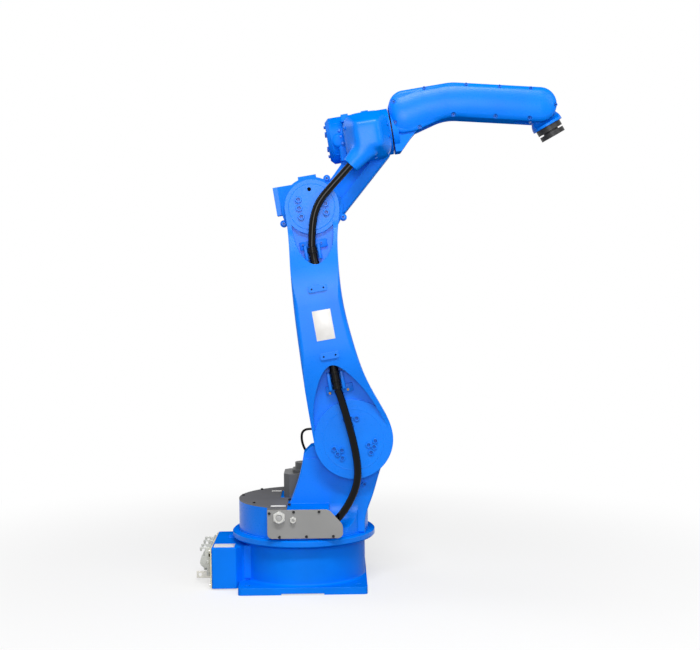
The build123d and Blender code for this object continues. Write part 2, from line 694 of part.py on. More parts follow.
# Lower arm
PROFILE_PLANE = Plane(
    origin=(SHOULDER[0], 0, SHOULDER[1]),
    x_dir=(-math.sin(LEAN), 0, math.cos(LEAN)),
    z_dir=(math.cos(LEAN), 0, math.sin(LEAN)),
)
with BuildPart() as lower_arm:
    with BuildSketch(side_plane(SHOULDER, ARM_LEAN, ARM_BACK)):
        with BuildLine():
            Spline(
                (-SHOULDER_RADIUS, 0),
                *spread(ARM_LEFT_SHARES, SHOULDER_RADIUS, ARM_LENGTH),
                (-ELBOW_RADIUS, ARM_LENGTH),
                tangents=((0, 1), (0, 1)),
            )
            Line((-ELBOW_RADIUS, ARM_LENGTH), (ELBOW_RADIUS, ARM_LENGTH))
            Spline(
                (ELBOW_RADIUS, ARM_LENGTH),
                *spread(ARM_RIGHT_SHARES, SHOULDER_RADIUS, ARM_LENGTH),
                (SHOULDER_RADIUS, 0),
                tangents=((0, -1), (0, -1)),
            )
            Line((SHOULDER_RADIUS, 0), (-SHOULDER_RADIUS, 0))
        make_face()
        Circle(SHOULDER_RADIUS)
        with Locations((0, ARM_LENGTH)):
            Circle(ELBOW_RADIUS)
    extrude(amount=ARM_SKIN - ARM_BACK)
    fillet(lower_arm.faces().filter_by(Axis.Y).sort_by(Axis.Y)[0].edges(), ARM_EDGE)
    with BuildSketch(PROFILE_PLANE):
        with BuildLine():
            lower_ramp = FilletPolyline(
                (-SHOULDER_RADIUS - OVERRUN, HUB_FACE),
                (LOWER_RAMP_START, HUB_FACE),
                (LOWER_RAMP_END, ARM_SKIN),
                (LOWER_RAMP_END + RAMP_CREST_RUN, ARM_SKIN),
                radius=(RAMP_ROOT_BEND, RAMP_CREST_BEND),
            )
            Polyline(
                lower_ramp @ 1,
                (LOWER_RAMP_END + RAMP_CREST_RUN, ARM_SKIN + OVERRUN),
                (-SHOULDER_RADIUS - OVERRUN, ARM_SKIN + OVERRUN),
                lower_ramp @ 0,
            )
        make_face()
        with BuildLine():
            upper_ramp = FilletPolyline(
                (ARM_LENGTH + ELBOW_RADIUS + OVERRUN, HUB_FACE),
                (ARM_LENGTH - UPPER_RAMP_START, HUB_FACE),
                (ARM_LENGTH - UPPER_RAMP_END, ARM_SKIN),
                (ARM_LENGTH - UPPER_RAMP_END - RAMP_CREST_RUN, ARM_SKIN),
                radius=(RAMP_ROOT_BEND, RAMP_CREST_BEND),
            )
            Polyline(
                upper_ramp @ 1,
                (ARM_LENGTH - UPPER_RAMP_END - RAMP_CREST_RUN, ARM_SKIN + OVERRUN),
                (ARM_LENGTH + ELBOW_RADIUS + OVERRUN, ARM_SKIN + OVERRUN),
                upper_ramp @ 0,
            )
        make_face()
    extrude(amount=SHOULDER_RADIUS + OVERRUN, both=True, mode=Mode.SUBTRACT)
    with BuildSketch(side_plane(SHOULDER, ARM_LEAN, POCKET_FLOOR)):
        with BuildLine():
            lower_rim = Spline(*spread(LOWER_POCKET_SHARES, SHOULDER_RADIUS, LOWER_POCKET_LENGTH))
            Polyline(
                lower_rim @ 1,
                (SHOULDER_RADIUS + OVERRUN, -SHOULDER_RADIUS - OVERRUN),
                (-SHOULDER_RADIUS - OVERRUN, -SHOULDER_RADIUS - OVERRUN),
                lower_rim @ 0,
            )
        make_face()
        with BuildLine():
            upper_rim = Spline(
                *spread(UPPER_POCKET_SHARES, ELBOW_RADIUS, UPPER_POCKET_LENGTH, ARM_LENGTH)
            )
            Polyline(
                upper_rim @ 1,
                (ELBOW_RADIUS + OVERRUN, ARM_LENGTH + ELBOW_RADIUS + OVERRUN),
                (-ELBOW_RADIUS - OVERRUN, ARM_LENGTH + ELBOW_RADIUS + OVERRUN),
                upper_rim @ 0,
            )
        make_face()
    extrude(amount=ARM_SKIN, mode=Mode.SUBTRACT)
    with BuildSketch(side_plane(SHOULDER, ARM_LEAN, ARM_BACK)):
        Circle(SHOULDER_RADIUS)
        with Locations((0, ARM_LENGTH)):
            Circle(ELBOW_RADIUS)
    extrude(amount=HUB_FACE - ARM_BACK)
    with BuildSketch(side_plane(SHOULDER, ARM_LEAN, ARM_SKIN - BOSS_ROOT)):
        with Locations((BOSS_ACROSS, LOWER_BOSS_OFFSET), (BOSS_ACROSS, ARM_LENGTH - UPPER_BOSS_DROP)):
            RectangleRounded(BOSS_LENGTH, BOSS_WIDTH, BOSS_CORNER)
    extrude(amount=BOSS_ROOT + BOSS_HEIGHT)
    with BuildSketch(side_plane(SHOULDER, ARM_LEAN, ARM_BACK)):
        Circle(SHOULDER_SPIGOT_RADIUS + SPIGOT_GAP)
    extrude(amount=SHOULDER_SPIGOT_DEPTH, mode=Mode.SUBTRACT)
    with BuildSketch(side_plane(SHOULDER, ARM_LEAN, ARM_BACK)):
        with Locations((0, ARM_LENGTH)):
            Circle(ELBOW_SPIGOT_RADIUS + SPIGOT_GAP)
    extrude(amount=ELBOW_SPIGOT_DEPTH, mode=Mode.SUBTRACT)
    with BuildSketch(axis_plane(arm_spot(HOSE_ACROSS, 0), 90 + ARM_LEAN, LOWER_FITTING_START, HOSE_DEPTH)):
        Circle(FITTING_RADIUS + FITTING_GAP)
    extrude(amount=LOWER_FITTING_LENGTH, mode=Mode.SUBTRACT)
    with BuildSketch(axis_plane(arm_spot(HOSE_ACROSS, 0), 90 + ARM_LEAN, UPPER_FITTING_END, HOSE_DEPTH)):
        Circle(FITTING_RADIUS + FITTING_GAP)
    extrude(amount=-UPPER_FITTING_LENGTH, mode=Mode.SUBTRACT)


def make_fitting(start, length):
    """Return a hose end fitting lying along the lower arm, from the hose's end inwards."""
    with BuildPart() as fitting:
        with BuildSketch(axis_plane(arm_spot(HOSE_ACROSS, 0), 90 + ARM_LEAN, start, HOSE_DEPTH)):
            Circle(FITTING_RADIUS)
        extrude(amount=length)
    return fitting.part


def make_clamp(along, cheek_length):
    """Return the bracket on the pocket's floor whose two cheeks hold a hose fitting."""
    with BuildPart() as clamp:
        with BuildSketch(side_plane(arm_spot(BRACKET_ACROSS, along), ARM_LEAN, POCKET_FLOOR)):
            RectangleRounded(BRACKET_WIDTH, BRACKET_HEIGHT, BRACKET_CORNER)
        extrude(amount=BRACKET_THICKNESS)
        cheek_spot = arm_spot(HOSE_ACROSS, along + cheek_length / 2)
        with BuildSketch(side_plane(cheek_spot, ARM_LEAN, POCKET_FLOOR)):
            with GridLocations(2 * (FITTING_RADIUS + CHEEK_GAP) + CHEEK_THICKNESS, 0, 2, 1):
                Rectangle(CHEEK_THICKNESS, abs(cheek_length))
        extrude(amount=CHEEK_FACE - POCKET_FLOOR)
    return clamp.part


fitting_lower = make_fitting(LOWER_FITTING_START, LOWER_FITTING_LENGTH)
fitting_upper = make_fitting(UPPER_FITTING_END, -UPPER_FITTING_LENGTH)
clamp_lower = make_clamp(LOWER_BRACKET_OFFSET, LOWER_CHEEK_LENGTH)
clamp_upper = make_clamp(ARM_LENGTH - UPPER_BRACKET_DROP, UPPER_CHEEK_LENGTH)

# Hoses that cross the shoulder and the elbow
with BuildPart() as hose_lower:
    with BuildLine(side_plane((0, 0), 0, HOSE_DEPTH)):
        FilletPolyline(
            (CHANNEL_LEFT, HOSE_START_Z),
            (CHANNEL_LEFT + HOSE_START_RUN, HOSE_START_Z),
            (HOSE_SWEEP_X, HOSE_SWEEP_Z),
            arm_spot(HOSE_ACROSS, HOSE_JOIN_ALONG),
            arm_spot(HOSE_ACROSS, LOWER_FITTING_START),
            radius=(HOSE_START_BEND, HOSE_SWEEP_BEND, HOSE_JOIN_BEND),
        )
    with BuildSketch(axis_plane((CHANNEL_LEFT, HOSE_START_Z), 0, 0, HOSE_DEPTH)):
        Circle(HOSE_RADIUS)
    sweep()

HOSE_TURN = arm_spot(HOSE_ACROSS, ARM_LENGTH - UPPER_HOSE_CORNER_DROP)
SPOUT_RISE = math.radians(SPOUT_ANGLE + FOREARM_TILT)
HOSE_END = (
    HOSE_TURN[0] + UPPER_HOSE_RUN * math.cos(SPOUT_RISE),
    HOSE_TURN[1] + UPPER_HOSE_RUN * math.sin(SPOUT_RISE),
)
with BuildPart() as hose_upper:
    with BuildLine(side_plane((0, 0), 0, HOSE_DEPTH)):
        FilletPolyline(
            arm_spot(HOSE_ACROSS, UPPER_FITTING_END),
            HOSE_TURN,
            HOSE_END,
            radius=UPPER_HOSE_BEND,
        )
    with BuildSketch(axis_plane(arm_spot(HOSE_ACROSS, 0), 90 + ARM_LEAN, UPPER_FITTING_END, HOSE_DEPTH)):
        Circle(HOSE_RADIUS)
    sweep()

with BuildPart() as motor_cable:
    with BuildLine():
        FilletPolyline(*CABLE_ROUTE, radius=(CABLE_TOP_BEND, CABLE_LOW_BEND, CABLE_LOW_BEND))
    CABLE_START = Vector(*CABLE_ROUTE[1]) - Vector(*CABLE_ROUTE[0])
    with BuildSketch(Plane(origin=CABLE_ROUTE[0], z_dir=CABLE_START)):
        Circle(CABLE_RADIUS)
    sweep()

# Elbow
with BuildPart() as elbow_casting:
    with BuildSketch(side_plane(ELBOW, FOREARM_TILT, -WEB_BACK)):
        with BuildLine():
            Polyline(
                (0, 0),
                (WEB_LOW_U, WEB_LOW_N),
                (WEB_NOSE_U, WEB_NOSE_N),
                (WEB_NOSE_U, ELBOW_OFFSET),
                (WEB_NECK_U, ELBOW_OFFSET),
                (WEB_NECK_U, WEB_NECK_N),
                (WEB_HEEL_U, WEB_HEEL_N),
                close=True,
            )
        make_face()
    extrude(amount=WEB_FRONT + WEB_BACK)
    fillet(elbow_casting.faces().sort_by(Axis.Y)[0].edges(), WEB_EDGE)
    fillet(elbow_casting.faces().sort_by(Axis.Y)[-1].edges(), WEB_EDGE)
    with BuildSketch(side_plane(ELBOW, FOREARM_TILT, WEB_FRONT - WEB_POCKET_DEPTH)) as pocket:
        with BuildLine():
            Polyline(
                (0, WEB_LOW_N + WEB_BORDER_WIDTH),
                (WEB_LOW_U - WEB_BORDER_WIDTH, WEB_LOW_N + WEB_BORDER_WIDTH),
                (WEB_NOSE_U - 2 * WEB_BORDER_WIDTH, WEB_POCKET_TOP),
                (WEB_HEEL_U + WEB_BORDER_WIDTH, WEB_POCKET_TOP),
                (0, WEB_HEEL_N - WEB_BORDER_WIDTH),
                close=True,
            )
        make_face()
        fillet(pocket.vertices(), WEB_POCKET_CORNER)
    extrude(amount=OVERRUN, mode=Mode.SUBTRACT)
    with BuildSketch(side_plane(ELBOW, FOREARM_TILT, ELBOW_HUB_STEP)):
        Circle(ELBOW_HUB_RADIUS)
    extrude(amount=COLUMN_FRONT - ELBOW_HUB_STEP)
    with BuildSketch(side_plane(ELBOW, FOREARM_TILT, -ELBOW_HUB_BACK)):
        Circle(ELBOW_REAR_RADIUS)
    extrude(amount=ELBOW_HUB_BACK + ELBOW_HUB_STEP)
    with BuildSketch(axis_plane(ROLL, FOREARM_TILT, HOUSING_START)):
        Circle(HOUSING_RADIUS)
    extrude(amount=HOUSING_END - HOUSING_START)
    with BuildSketch(side_plane(ELBOW, FOREARM_TILT, 0)):
        with Locations((GEAR_COVER_U, GEAR_COVER_N)):
            RectangleRounded(GEAR_COVER_LENGTH, GEAR_COVER_HEIGHT, GEAR_COVER_CORNER)
    extrude(amount=GEAR_COVER_SEAT)
    with BuildSketch(side_plane(ELBOW, FOREARM_TILT, GEAR_COVER_SEAT - EAR_DEPTH)):
        with Locations(*((u, EAR_N) for u in EAR_U)):
            Rectangle(EAR_LENGTH, EAR_HEIGHT)
    extrude(amount=EAR_DEPTH)
    with BuildSketch(side_plane(ELBOW, FOREARM_TILT, COLUMN_FRONT - LUG_LENGTH)):
        for angle in LUG_ANGLES:
            with PolarLocations(LUG_REACH, 1, angle):
                Circle(LUG_RADIUS)
    extrude(amount=LUG_LENGTH)
    with BuildSketch(side_plane(ELBOW, FOREARM_TILT, COLUMN_FRONT - TOP_BLOCK_DEPTH)):
        with Locations((0, TOP_BLOCK_HEIGHT / 2)):
            Rectangle(TOP_BLOCK_WIDTH, TOP_BLOCK_HEIGHT)
    extrude(amount=TOP_BLOCK_DEPTH)
    with BuildSketch(side_plane(ELBOW, FOREARM_TILT, BOX_BACK)):
        with Locations((-BOX_SEAT_U / 2, (BOX_LOW_N + BOX_HIGH_N) / 2)):
            Rectangle(BOX_SEAT_U, BOX_HIGH_N - BOX_LOW_N)
    extrude(amount=BOX_FRONT - BOX_BACK)

with BuildPart() as elbow_box:
    with BuildSketch(side_plane(ELBOW, FOREARM_TILT, BOX_BACK)):
        with Locations((-(BOX_SEAT_U + BOX_COVER_U) / 2, (BOX_LOW_N + BOX_HIGH_N) / 2)):
            Rectangle(BOX_COVER_U - BOX_SEAT_U, BOX_HIGH_N - BOX_LOW_N)
    extrude(amount=BOX_FRONT - BOX_BACK)

with BuildPart() as elbow_reducer:
    with BuildSketch(side_plane(ELBOW, FOREARM_TILT, COLUMN_FRONT)):
        Circle(ELBOW_SPIGOT_RADIUS)
    extrude(amount=JOINT_GAP + ELBOW_SPIGOT_DEPTH - SPIGOT_GAP)

with BuildPart() as roll_rear_cover:
    with BuildSketch(axis_plane(ROLL, FOREARM_TILT, HOUSING_START)):
        Circle(HOUSING_RADIUS)
    extrude(amount=-REAR_COVER_LENGTH)
    chamfer(roll_rear_cover.edges().filter_by(GeomType.CIRCLE).sort_by(Axis.X)[0], REAR_COVER_CHAMFER)

with BuildPart() as roll_reducer:
    with BuildSketch(axis_plane(ROLL, FOREARM_TILT, HOUSING_END)):
        Circle(FOREARM_SPIGOT_RADIUS)
    extrude(amount=JOINT_GAP + FOREARM_SPIGOT_DEPTH - SPIGOT_GAP)

SPOUT_MOUTH_RUN = UPPER_HOSE_RUN - SPOUT_BORE_DEPTH
with BuildPart() as roll_side_cover:
    with BuildSketch(side_plane(ELBOW, FOREARM_TILT, GEAR_COVER_SEAT)):
        with Locations((GEAR_COVER_U, GEAR_COVER_N)):
            RectangleRounded(GEAR_COVER_LENGTH, GEAR_COVER_HEIGHT, GEAR_COVER_CORNER)
    extrude(amount=GEAR_COVER_WALL)
    with BuildSketch(side_plane(ELBOW, FOREARM_TILT, GEAR_COVER_SEAT + GEAR_COVER_WALL)):
        with Locations((GEAR_COVER_U, GEAR_COVER_N)):
            RectangleRounded(GEAR_COVER_LENGTH, GEAR_COVER_HEIGHT, GEAR_COVER_CORNER)
    extrude(amount=GEAR_COVER_CROWN, taper=GEAR_COVER_TAPER)
    crown = roll_side_cover.faces().filter_by(Axis.Y).sort_by(Axis.Y)[0]
    fillet(crown.edges(), GEAR_COVER_CROWN_EDGE)
    shoulder_edges = roll_side_cover.edges().filter_by_position(
        Axis.Y,
        -GEAR_COVER_SEAT - GEAR_COVER_WALL - SPIGOT_GAP,
        -GEAR_COVER_SEAT - GEAR_COVER_WALL + SPIGOT_GAP,
    )
    fillet(shoulder_edges, GEAR_COVER_EDGE)
    with BuildSketch(axis_plane(HOSE_TURN, SPOUT_ANGLE + FOREARM_TILT, SPOUT_MOUTH_RUN, HOSE_DEPTH)):
        Ellipse(SPOUT_DEPTH, SPOUT_WIDTH)
    with BuildSketch(
        axis_plane(
            HOSE_TURN,
            SPOUT_ANGLE + FOREARM_TILT,
            SPOUT_MOUTH_RUN + SPOUT_LENGTH,
            HOSE_DEPTH - SPOUT_ROOT_DROP,
        )
    ):
        Ellipse(SPOUT_ROOT_DEPTH, SPOUT_ROOT_WIDTH)
    loft()
    with BuildSketch(axis_plane(HOSE_TURN, SPOUT_ANGLE + FOREARM_TILT, SPOUT_MOUTH_RUN, HOSE_DEPTH)):
        Circle(HOSE_RADIUS + SPOUT_BORE_GAP)
    extrude(amount=SPOUT_BORE_DEPTH, mode=Mode.SUBTRACT)

# Forearm
FOREARM_START = HOUSING_END + JOINT_GAP
BEND = math.radians(FOREARM_BEND)
BAR_TOP = (FOREARM_LENGTH + FOREARM_END_RADIUS * math.sin(BEND), FOREARM_END_RADIUS * math.cos(BEND))
BAR_LOW = (FOREARM_LENGTH - FOREARM_END_RADIUS * math.sin(BEND), -FOREARM_END_RADIUS * math.cos(BEND))
CROWN = (BAR_TOP[0] - (FOREARM_TOP - BAR_TOP[1]) / math.tan(BEND), FOREARM_TOP)


def belly_spot(u):
    """Return the point of the forearm's lower edge line at a run along the roll axis."""
    return (u, BAR_LOW[1] + (BAR_LOW[0] - u) * math.tan(BEND))


def make_forearm_cover(depth, amount):
    """Return one of the two long covers on the forearm's sides."""
    with BuildPart() as cover:
        with BuildSketch(side_plane(ROLL, FOREARM_TILT, depth)):
            with BuildLine():
                FilletPolyline(
                    BAR_LOW,
                    belly_spot(COVER_BELLY_U),
                    (COVER_STEP_U, COVER_LOW),
                    (COVER_NOSE_U, COVER_LOW),
                    (COVER_NOSE_U, FOREARM_TOP),
                    CROWN,
                    BAR_TOP,
                    radius=(
                        BELLY_BEND_RADIUS,
                        COVER_STEP_RADIUS,
                        COVER_HEEL_RADIUS,
                        COVER_NOSE_RADIUS,
                        CROWN_BEND_RADIUS,
                    ),
                )
                Line(BAR_TOP, BAR_LOW)
            make_face()
            with Locations((FOREARM_LENGTH, 0)):
                Circle(FOREARM_END_RADIUS)
        extrude(amount=amount)
        outer = cover.faces().filter_by(Axis.Y).sort_by(Axis.Y)
        fillet(outer[0 if amount > 0 else -1].edges(), FOREARM_COVER_EDGE)
    return cover.part


forearm_cover_near = make_forearm_cover(FOREARM_HALF_DEPTH, FOREARM_COVER_DEPTH)
forearm_cover_far = make_forearm_cover(-FOREARM_HALF_DEPTH, -FOREARM_COVER_DEPTH)

with BuildPart() as forearm_casting:
    with BuildSketch(side_plane(ROLL, FOREARM_TILT, -FOREARM_HALF_DEPTH)):
        with BuildLine():
            FilletPolyline(
                BAR_LOW,
                belly_spot(CASTING_BELLY_U),
                (FOREARM_START + FOREARM_DRUM_LENGTH, -FOREARM_DRUM_RADIUS),
                (FOREARM_START, -FOREARM_DRUM_RADIUS),
                (FOREARM_START, FOREARM_TOP),
                CROWN,
                BAR_TOP,
                radius=(
                    BELLY_BEND_RADIUS,
                    CASTING_HEEL_RADIUS,
                    CASTING_HEEL_RADIUS,
                    CASTING_NOSE_RADIUS,
                    CROWN_BEND_RADIUS,
                ),
            )
            Line(BAR_TOP, BAR_LOW)
        make_face()
        with Locations((FOREARM_LENGTH, 0)):
            Circle(FOREARM_END_RADIUS)
    extrude(amount=2 * FOREARM_HALF_DEPTH)
    with BuildSketch(axis_plane(ROLL, FOREARM_TILT, FOREARM_START)):
        Circle(FOREARM_DRUM_RADIUS)
    extrude(amount=FOREARM_DRUM_LENGTH)
    add(forearm_cover_near, mode=Mode.SUBTRACT)
    add(forearm_cover_far, mode=Mode.SUBTRACT)
    with BuildSketch(axis_plane(ROLL, FOREARM_TILT, FOREARM_START)):
        Circle(FOREARM_SPIGOT_RADIUS + SPIGOT_GAP)
    extrude(amount=FOREARM_SPIGOT_DEPTH, mode=Mode.SUBTRACT)
    with BuildSketch(side_plane(ROLL, FOREARM_TILT, -WRIST_HALF_WIDTH - JOINT_GAP)):
        with Locations((FOREARM_LENGTH - WRIST_SLOT_START, 0)):
            Rectangle(
                WRIST_SLOT_START + FOREARM_END_RADIUS + OVERRUN,
                2 * FOREARM_TOP,
                align=(Align.MIN, Align.CENTER),
            )
    extrude(amount=2 * (WRIST_HALF_WIDTH + JOINT_GAP), mode=Mode.SUBTRACT)
    with BuildSketch(side_plane(ROLL, FOREARM_TILT, -WRIST_HALF_WIDTH - JOINT_GAP - TRUNNION_LENGTH)):
        with Locations((FOREARM_LENGTH, 0)):
            Circle(TRUNNION_RADIUS + SPIGOT_GAP)
    extrude(amount=2 * (WRIST_HALF_WIDTH + JOINT_GAP + TRUNNION_LENGTH), mode=Mode.SUBTRACT)


# Wrist and tool flange
with BuildPart() as wrist_housing:
    with BuildSketch(side_plane(WRIST, 0, -WRIST_HALF_WIDTH)):
        Circle(WRIST_RADIUS)
    extrude(amount=2 * WRIST_HALF_WIDTH)
    with BuildSketch(axis_plane(WRIST, -TOOL_DROP, 0)):
        Rectangle(2 * WRIST_HALF_WIDTH, 2 * WRIST_NECK)
    extrude(amount=COLLAR_END)
    with BuildSketch(axis_plane(WRIST, -TOOL_DROP, COLLAR_START)):
        Circle(COLLAR_RADIUS)
    extrude(amount=COLLAR_END - COLLAR_START)
    with BuildSketch(side_plane(WRIST, 0, -WRIST_HALF_WIDTH - JOINT_GAP - TRUNNION_LENGTH + SPIGOT_GAP)):
        Circle(TRUNNION_RADIUS)
    extrude(amount=2 * (WRIST_HALF_WIDTH + JOINT_GAP + TRUNNION_LENGTH - SPIGOT_GAP))

with BuildPart() as wrist_gear_ring:
    with BuildSketch(axis_plane(WRIST, -TOOL_DROP, COLLAR_END)):
        Circle(GEAR_RING_RADIUS)
    extrude(amount=GEAR_RING_LENGTH)
    with BuildSketch(axis_plane(WRIST, -TOOL_DROP, COLLAR_END + GEAR_RING_LENGTH)):
        Circle(TOOL_SPIGOT_RADIUS)
    extrude(amount=JOINT_GAP + TOOL_SPIGOT_DEPTH - SPIGOT_GAP)

FLANGE_START = COLLAR_END + GEAR_RING_LENGTH + JOINT_GAP
FLANGE_FACE = axis_plane(WRIST, -TOOL_DROP, FLANGE_START + FLANGE_LENGTH)
with BuildPart() as tool_flange:
    with BuildSketch(axis_plane(WRIST, -TOOL_DROP, FLANGE_START)):
        Circle(FLANGE_RADIUS)
    extrude(amount=FLANGE_LENGTH)
    with BuildSketch(axis_plane(WRIST, -TOOL_DROP, FLANGE_START)):
        Circle(TOOL_SPIGOT_RADIUS + SPIGOT_GAP)
    extrude(amount=TOOL_SPIGOT_DEPTH, mode=Mode.SUBTRACT)
    with BuildSketch(FLANGE_FACE):
        Circle(FLANGE_PILOT_RADIUS)
    extrude(amount=-FLANGE_PILOT_DEPTH, mode=Mode.SUBTRACT)
    with BuildSketch(FLANGE_FACE):
        with PolarLocations(FLANGE_HOLE_REACH, FLANGE_HOLE_COUNT):
            Circle(FLANGE_HOLE_RADIUS)
    extrude(amount=-FLANGE_HOLE_DEPTH, mode=Mode.SUBTRACT)

NODES = {
    "base_casting": base_casting.part,
    "swing_reducer": swing_reducer.part,
    "connector_panel": connector_panel.part,
    "plug_near": plug_near,
    "plug_far": plug_far,
    "hood_near": hood_near,
    "hood_far": hood_far,
    "earth_tab": earth_tab.part,
    "swing_casting": swing_casting.part,
    "deck_cover": deck_cover.part,
    "side_cover": side_cover.part,
    "gland_large": gland_large,
    "gland_small": gland_small,
    "swing_motor": swing_motor,
    "swing_encoder": swing_encoder,
    "shoulder_motor": shoulder_motor,
    "shoulder_encoder": shoulder_encoder,
    "shoulder_reducer": shoulder_reducer.part,
    "hose_lower": hose_lower.part,
    "motor_cable": motor_cable.part,
    "lower_arm": lower_arm.part,
    "fitting_lower": fitting_lower,
    "fitting_upper": fitting_upper,
    "clamp_lower": clamp_lower,
    "clamp_upper": clamp_upper,
    "elbow_casting": elbow_casting.part,
    "elbow_reducer": elbow_reducer.part,
    "elbow_box": elbow_box.part,
    "elbow_motor": elbow_motor,
    "elbow_encoder": elbow_encoder,
    "roll_side_cover": roll_side_cover.part,
    "roll_rear_cover": roll_rear_cover.part,
    "roll_reducer": roll_reducer.part,
    "hose_upper": hose_upper.part,
    "forearm_casting": forearm_casting.part,
    "forearm_cover_near": forearm_cover_near,
    "forearm_cover_far": forearm_cover_far,
    "wrist_housing": wrist_housing.part,
    "wrist_gear_ring": wrist_gear_ring.part,
    "tool_flange": tool_flange.part,
}
os.makedirs("parts", exist_ok=True)
for name, solid in NODES.items():
    solid.label = name
    export_step(solid, f"parts/{name}.step")
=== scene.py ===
"""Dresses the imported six-axis robot arm: finishes, fasteners, hoses and fine forms, in studio light."""

import logging
import math
from dataclasses import dataclass
from enum import Enum
from typing import Callable, Iterable, Sequence

import bmesh
import bpy
from mathutils import Matrix, Vector
from mathutils.geometry import intersect_point_line


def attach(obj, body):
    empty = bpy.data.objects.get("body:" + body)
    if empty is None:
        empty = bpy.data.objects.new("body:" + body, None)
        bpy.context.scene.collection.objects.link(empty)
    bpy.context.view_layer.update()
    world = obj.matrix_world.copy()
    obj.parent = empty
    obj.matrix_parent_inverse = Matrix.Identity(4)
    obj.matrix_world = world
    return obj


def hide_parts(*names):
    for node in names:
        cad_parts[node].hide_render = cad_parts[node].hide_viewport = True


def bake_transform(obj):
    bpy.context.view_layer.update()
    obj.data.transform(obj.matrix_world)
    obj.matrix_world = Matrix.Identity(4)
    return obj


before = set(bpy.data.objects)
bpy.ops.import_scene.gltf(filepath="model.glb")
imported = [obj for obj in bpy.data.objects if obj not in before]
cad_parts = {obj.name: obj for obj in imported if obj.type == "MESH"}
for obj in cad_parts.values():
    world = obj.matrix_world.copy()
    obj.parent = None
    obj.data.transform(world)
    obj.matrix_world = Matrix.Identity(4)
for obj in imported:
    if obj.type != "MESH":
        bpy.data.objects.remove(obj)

LOG = logging.getLogger("robot_arm")
MM = 0.001
Spot = tuple[float, float]
Place = tuple[float, float, float]
Profile = Sequence[Spot]
Piece = bpy.types.Object
Tree = bpy.types.NodeTree
Socket = bpy.types.NodeSocket

# Places shared by the sub-assemblies, in millimetres
SHOULDER = (160.0, 465.0)
ELBOW = (41.16, 1175.13)
ROLL = (9.88, 1372.66)
WRIST = (750.64, 1489.98)
ARM_LEAN = 9.5
FOREARM_TILT = 9.0
TOOL_DROP = 61.0
HUB_FACE = 158.0
POCKET_FLOOR = 146.0
ARM_SKIN = 205.0
HOSE_DEPTH = 176.0
HOSE_RADIUS = 11.5
HOSE_ACROSS = -21.0

# Blank film plates, how near two lengths are taken as the same, and how near two directions are
FILM_THICK = 0.8
FILM_EDGE = 0.3
TOUCH = 0.01
ALIGNED = 0.99

# Ranges over which a finish changes: in its patches and gloss, on edges, in hollows where shade is painted,
# and on level faces
PATCH_RANGE = (0.35, 0.65)
GLOSS_RANGE = (0.3, 0.7)
EDGE_RANGE = (0.995, 0.85)
PAINTED_SHADE_RANGE = (0.85, 0.4)
LEVEL_RANGE = (0.32, 0.7)
BRUSH_STRETCH = 30.0

# Directions in the shared frame
NEAR = (0.0, -1.0, 0.0)
FAR = (0.0, 1.0, 0.0)
UP = (0.0, 0.0, 1.0)
BACK = (-1.0, 0.0, 0.0)


class Grain(Enum):
    """How a surface was made, which sets the pattern that its bump and gloss follow."""

    SPRAYED = "sprayed"
    CAST = "cast"
    BRUSHED = "brushed"
    MOULDED = "moulded"


def linear(colour: str) -> tuple[float, float, float, float]:
    """Turns an sRGB hex colour to linear light.

    Args:
        colour: the colour as a hash sign and six hex digits.

    Returns:
        Red, green, blue and alpha in linear light.
    """
    shares = [int(colour[i : i + 2], 16) / 255 for i in (1, 3, 5)]
    red, green, blue = (s / 12.92 if s <= 0.04045 else ((s + 0.055) / 1.055) ** 2.4 for s in shares)
    return red, green, blue, 1.0


def add_node(tree: Tree, kind: str, inputs: dict, **settings: object) -> bpy.types.Node:
    """Adds a node with its settings, and links or sets its inputs.

    Args:
        tree: the node tree that gets the node.
        kind: the node's type name.
        inputs: for each input's name or number, a socket to link or a value to set.
        settings: the node's own properties.

    Returns:
        The new node.
    """
    node = tree.nodes.new(kind)
    for name, value in settings.items():
        setattr(node, name, value)
    for name, value in inputs.items():
        if isinstance(value, Socket):
            tree.links.new(value, node.inputs[name])
        else:
            node.inputs[name].default_value = value
    return node


def ramp(tree: Tree, value: Socket, reach: Spot, result: Spot = (0.0, 1.0), **settings: object) -> Socket:
    """Maps a value from one range to another and holds it at the ends.

    Args:
        tree: the node tree that gets the node.
        value: the value's socket.
        reach: the value's range.
        result: the range that it is mapped to.
        settings: the node's own properties.

    Returns:
        The result's socket.
    """
    ends = {"From Min": reach[0], "From Max": reach[1], "To Min": result[0], "To Max": result[1]}
    return add_node(tree, "ShaderNodeMapRange", {"Value": value, **ends}, **settings).outputs[0]


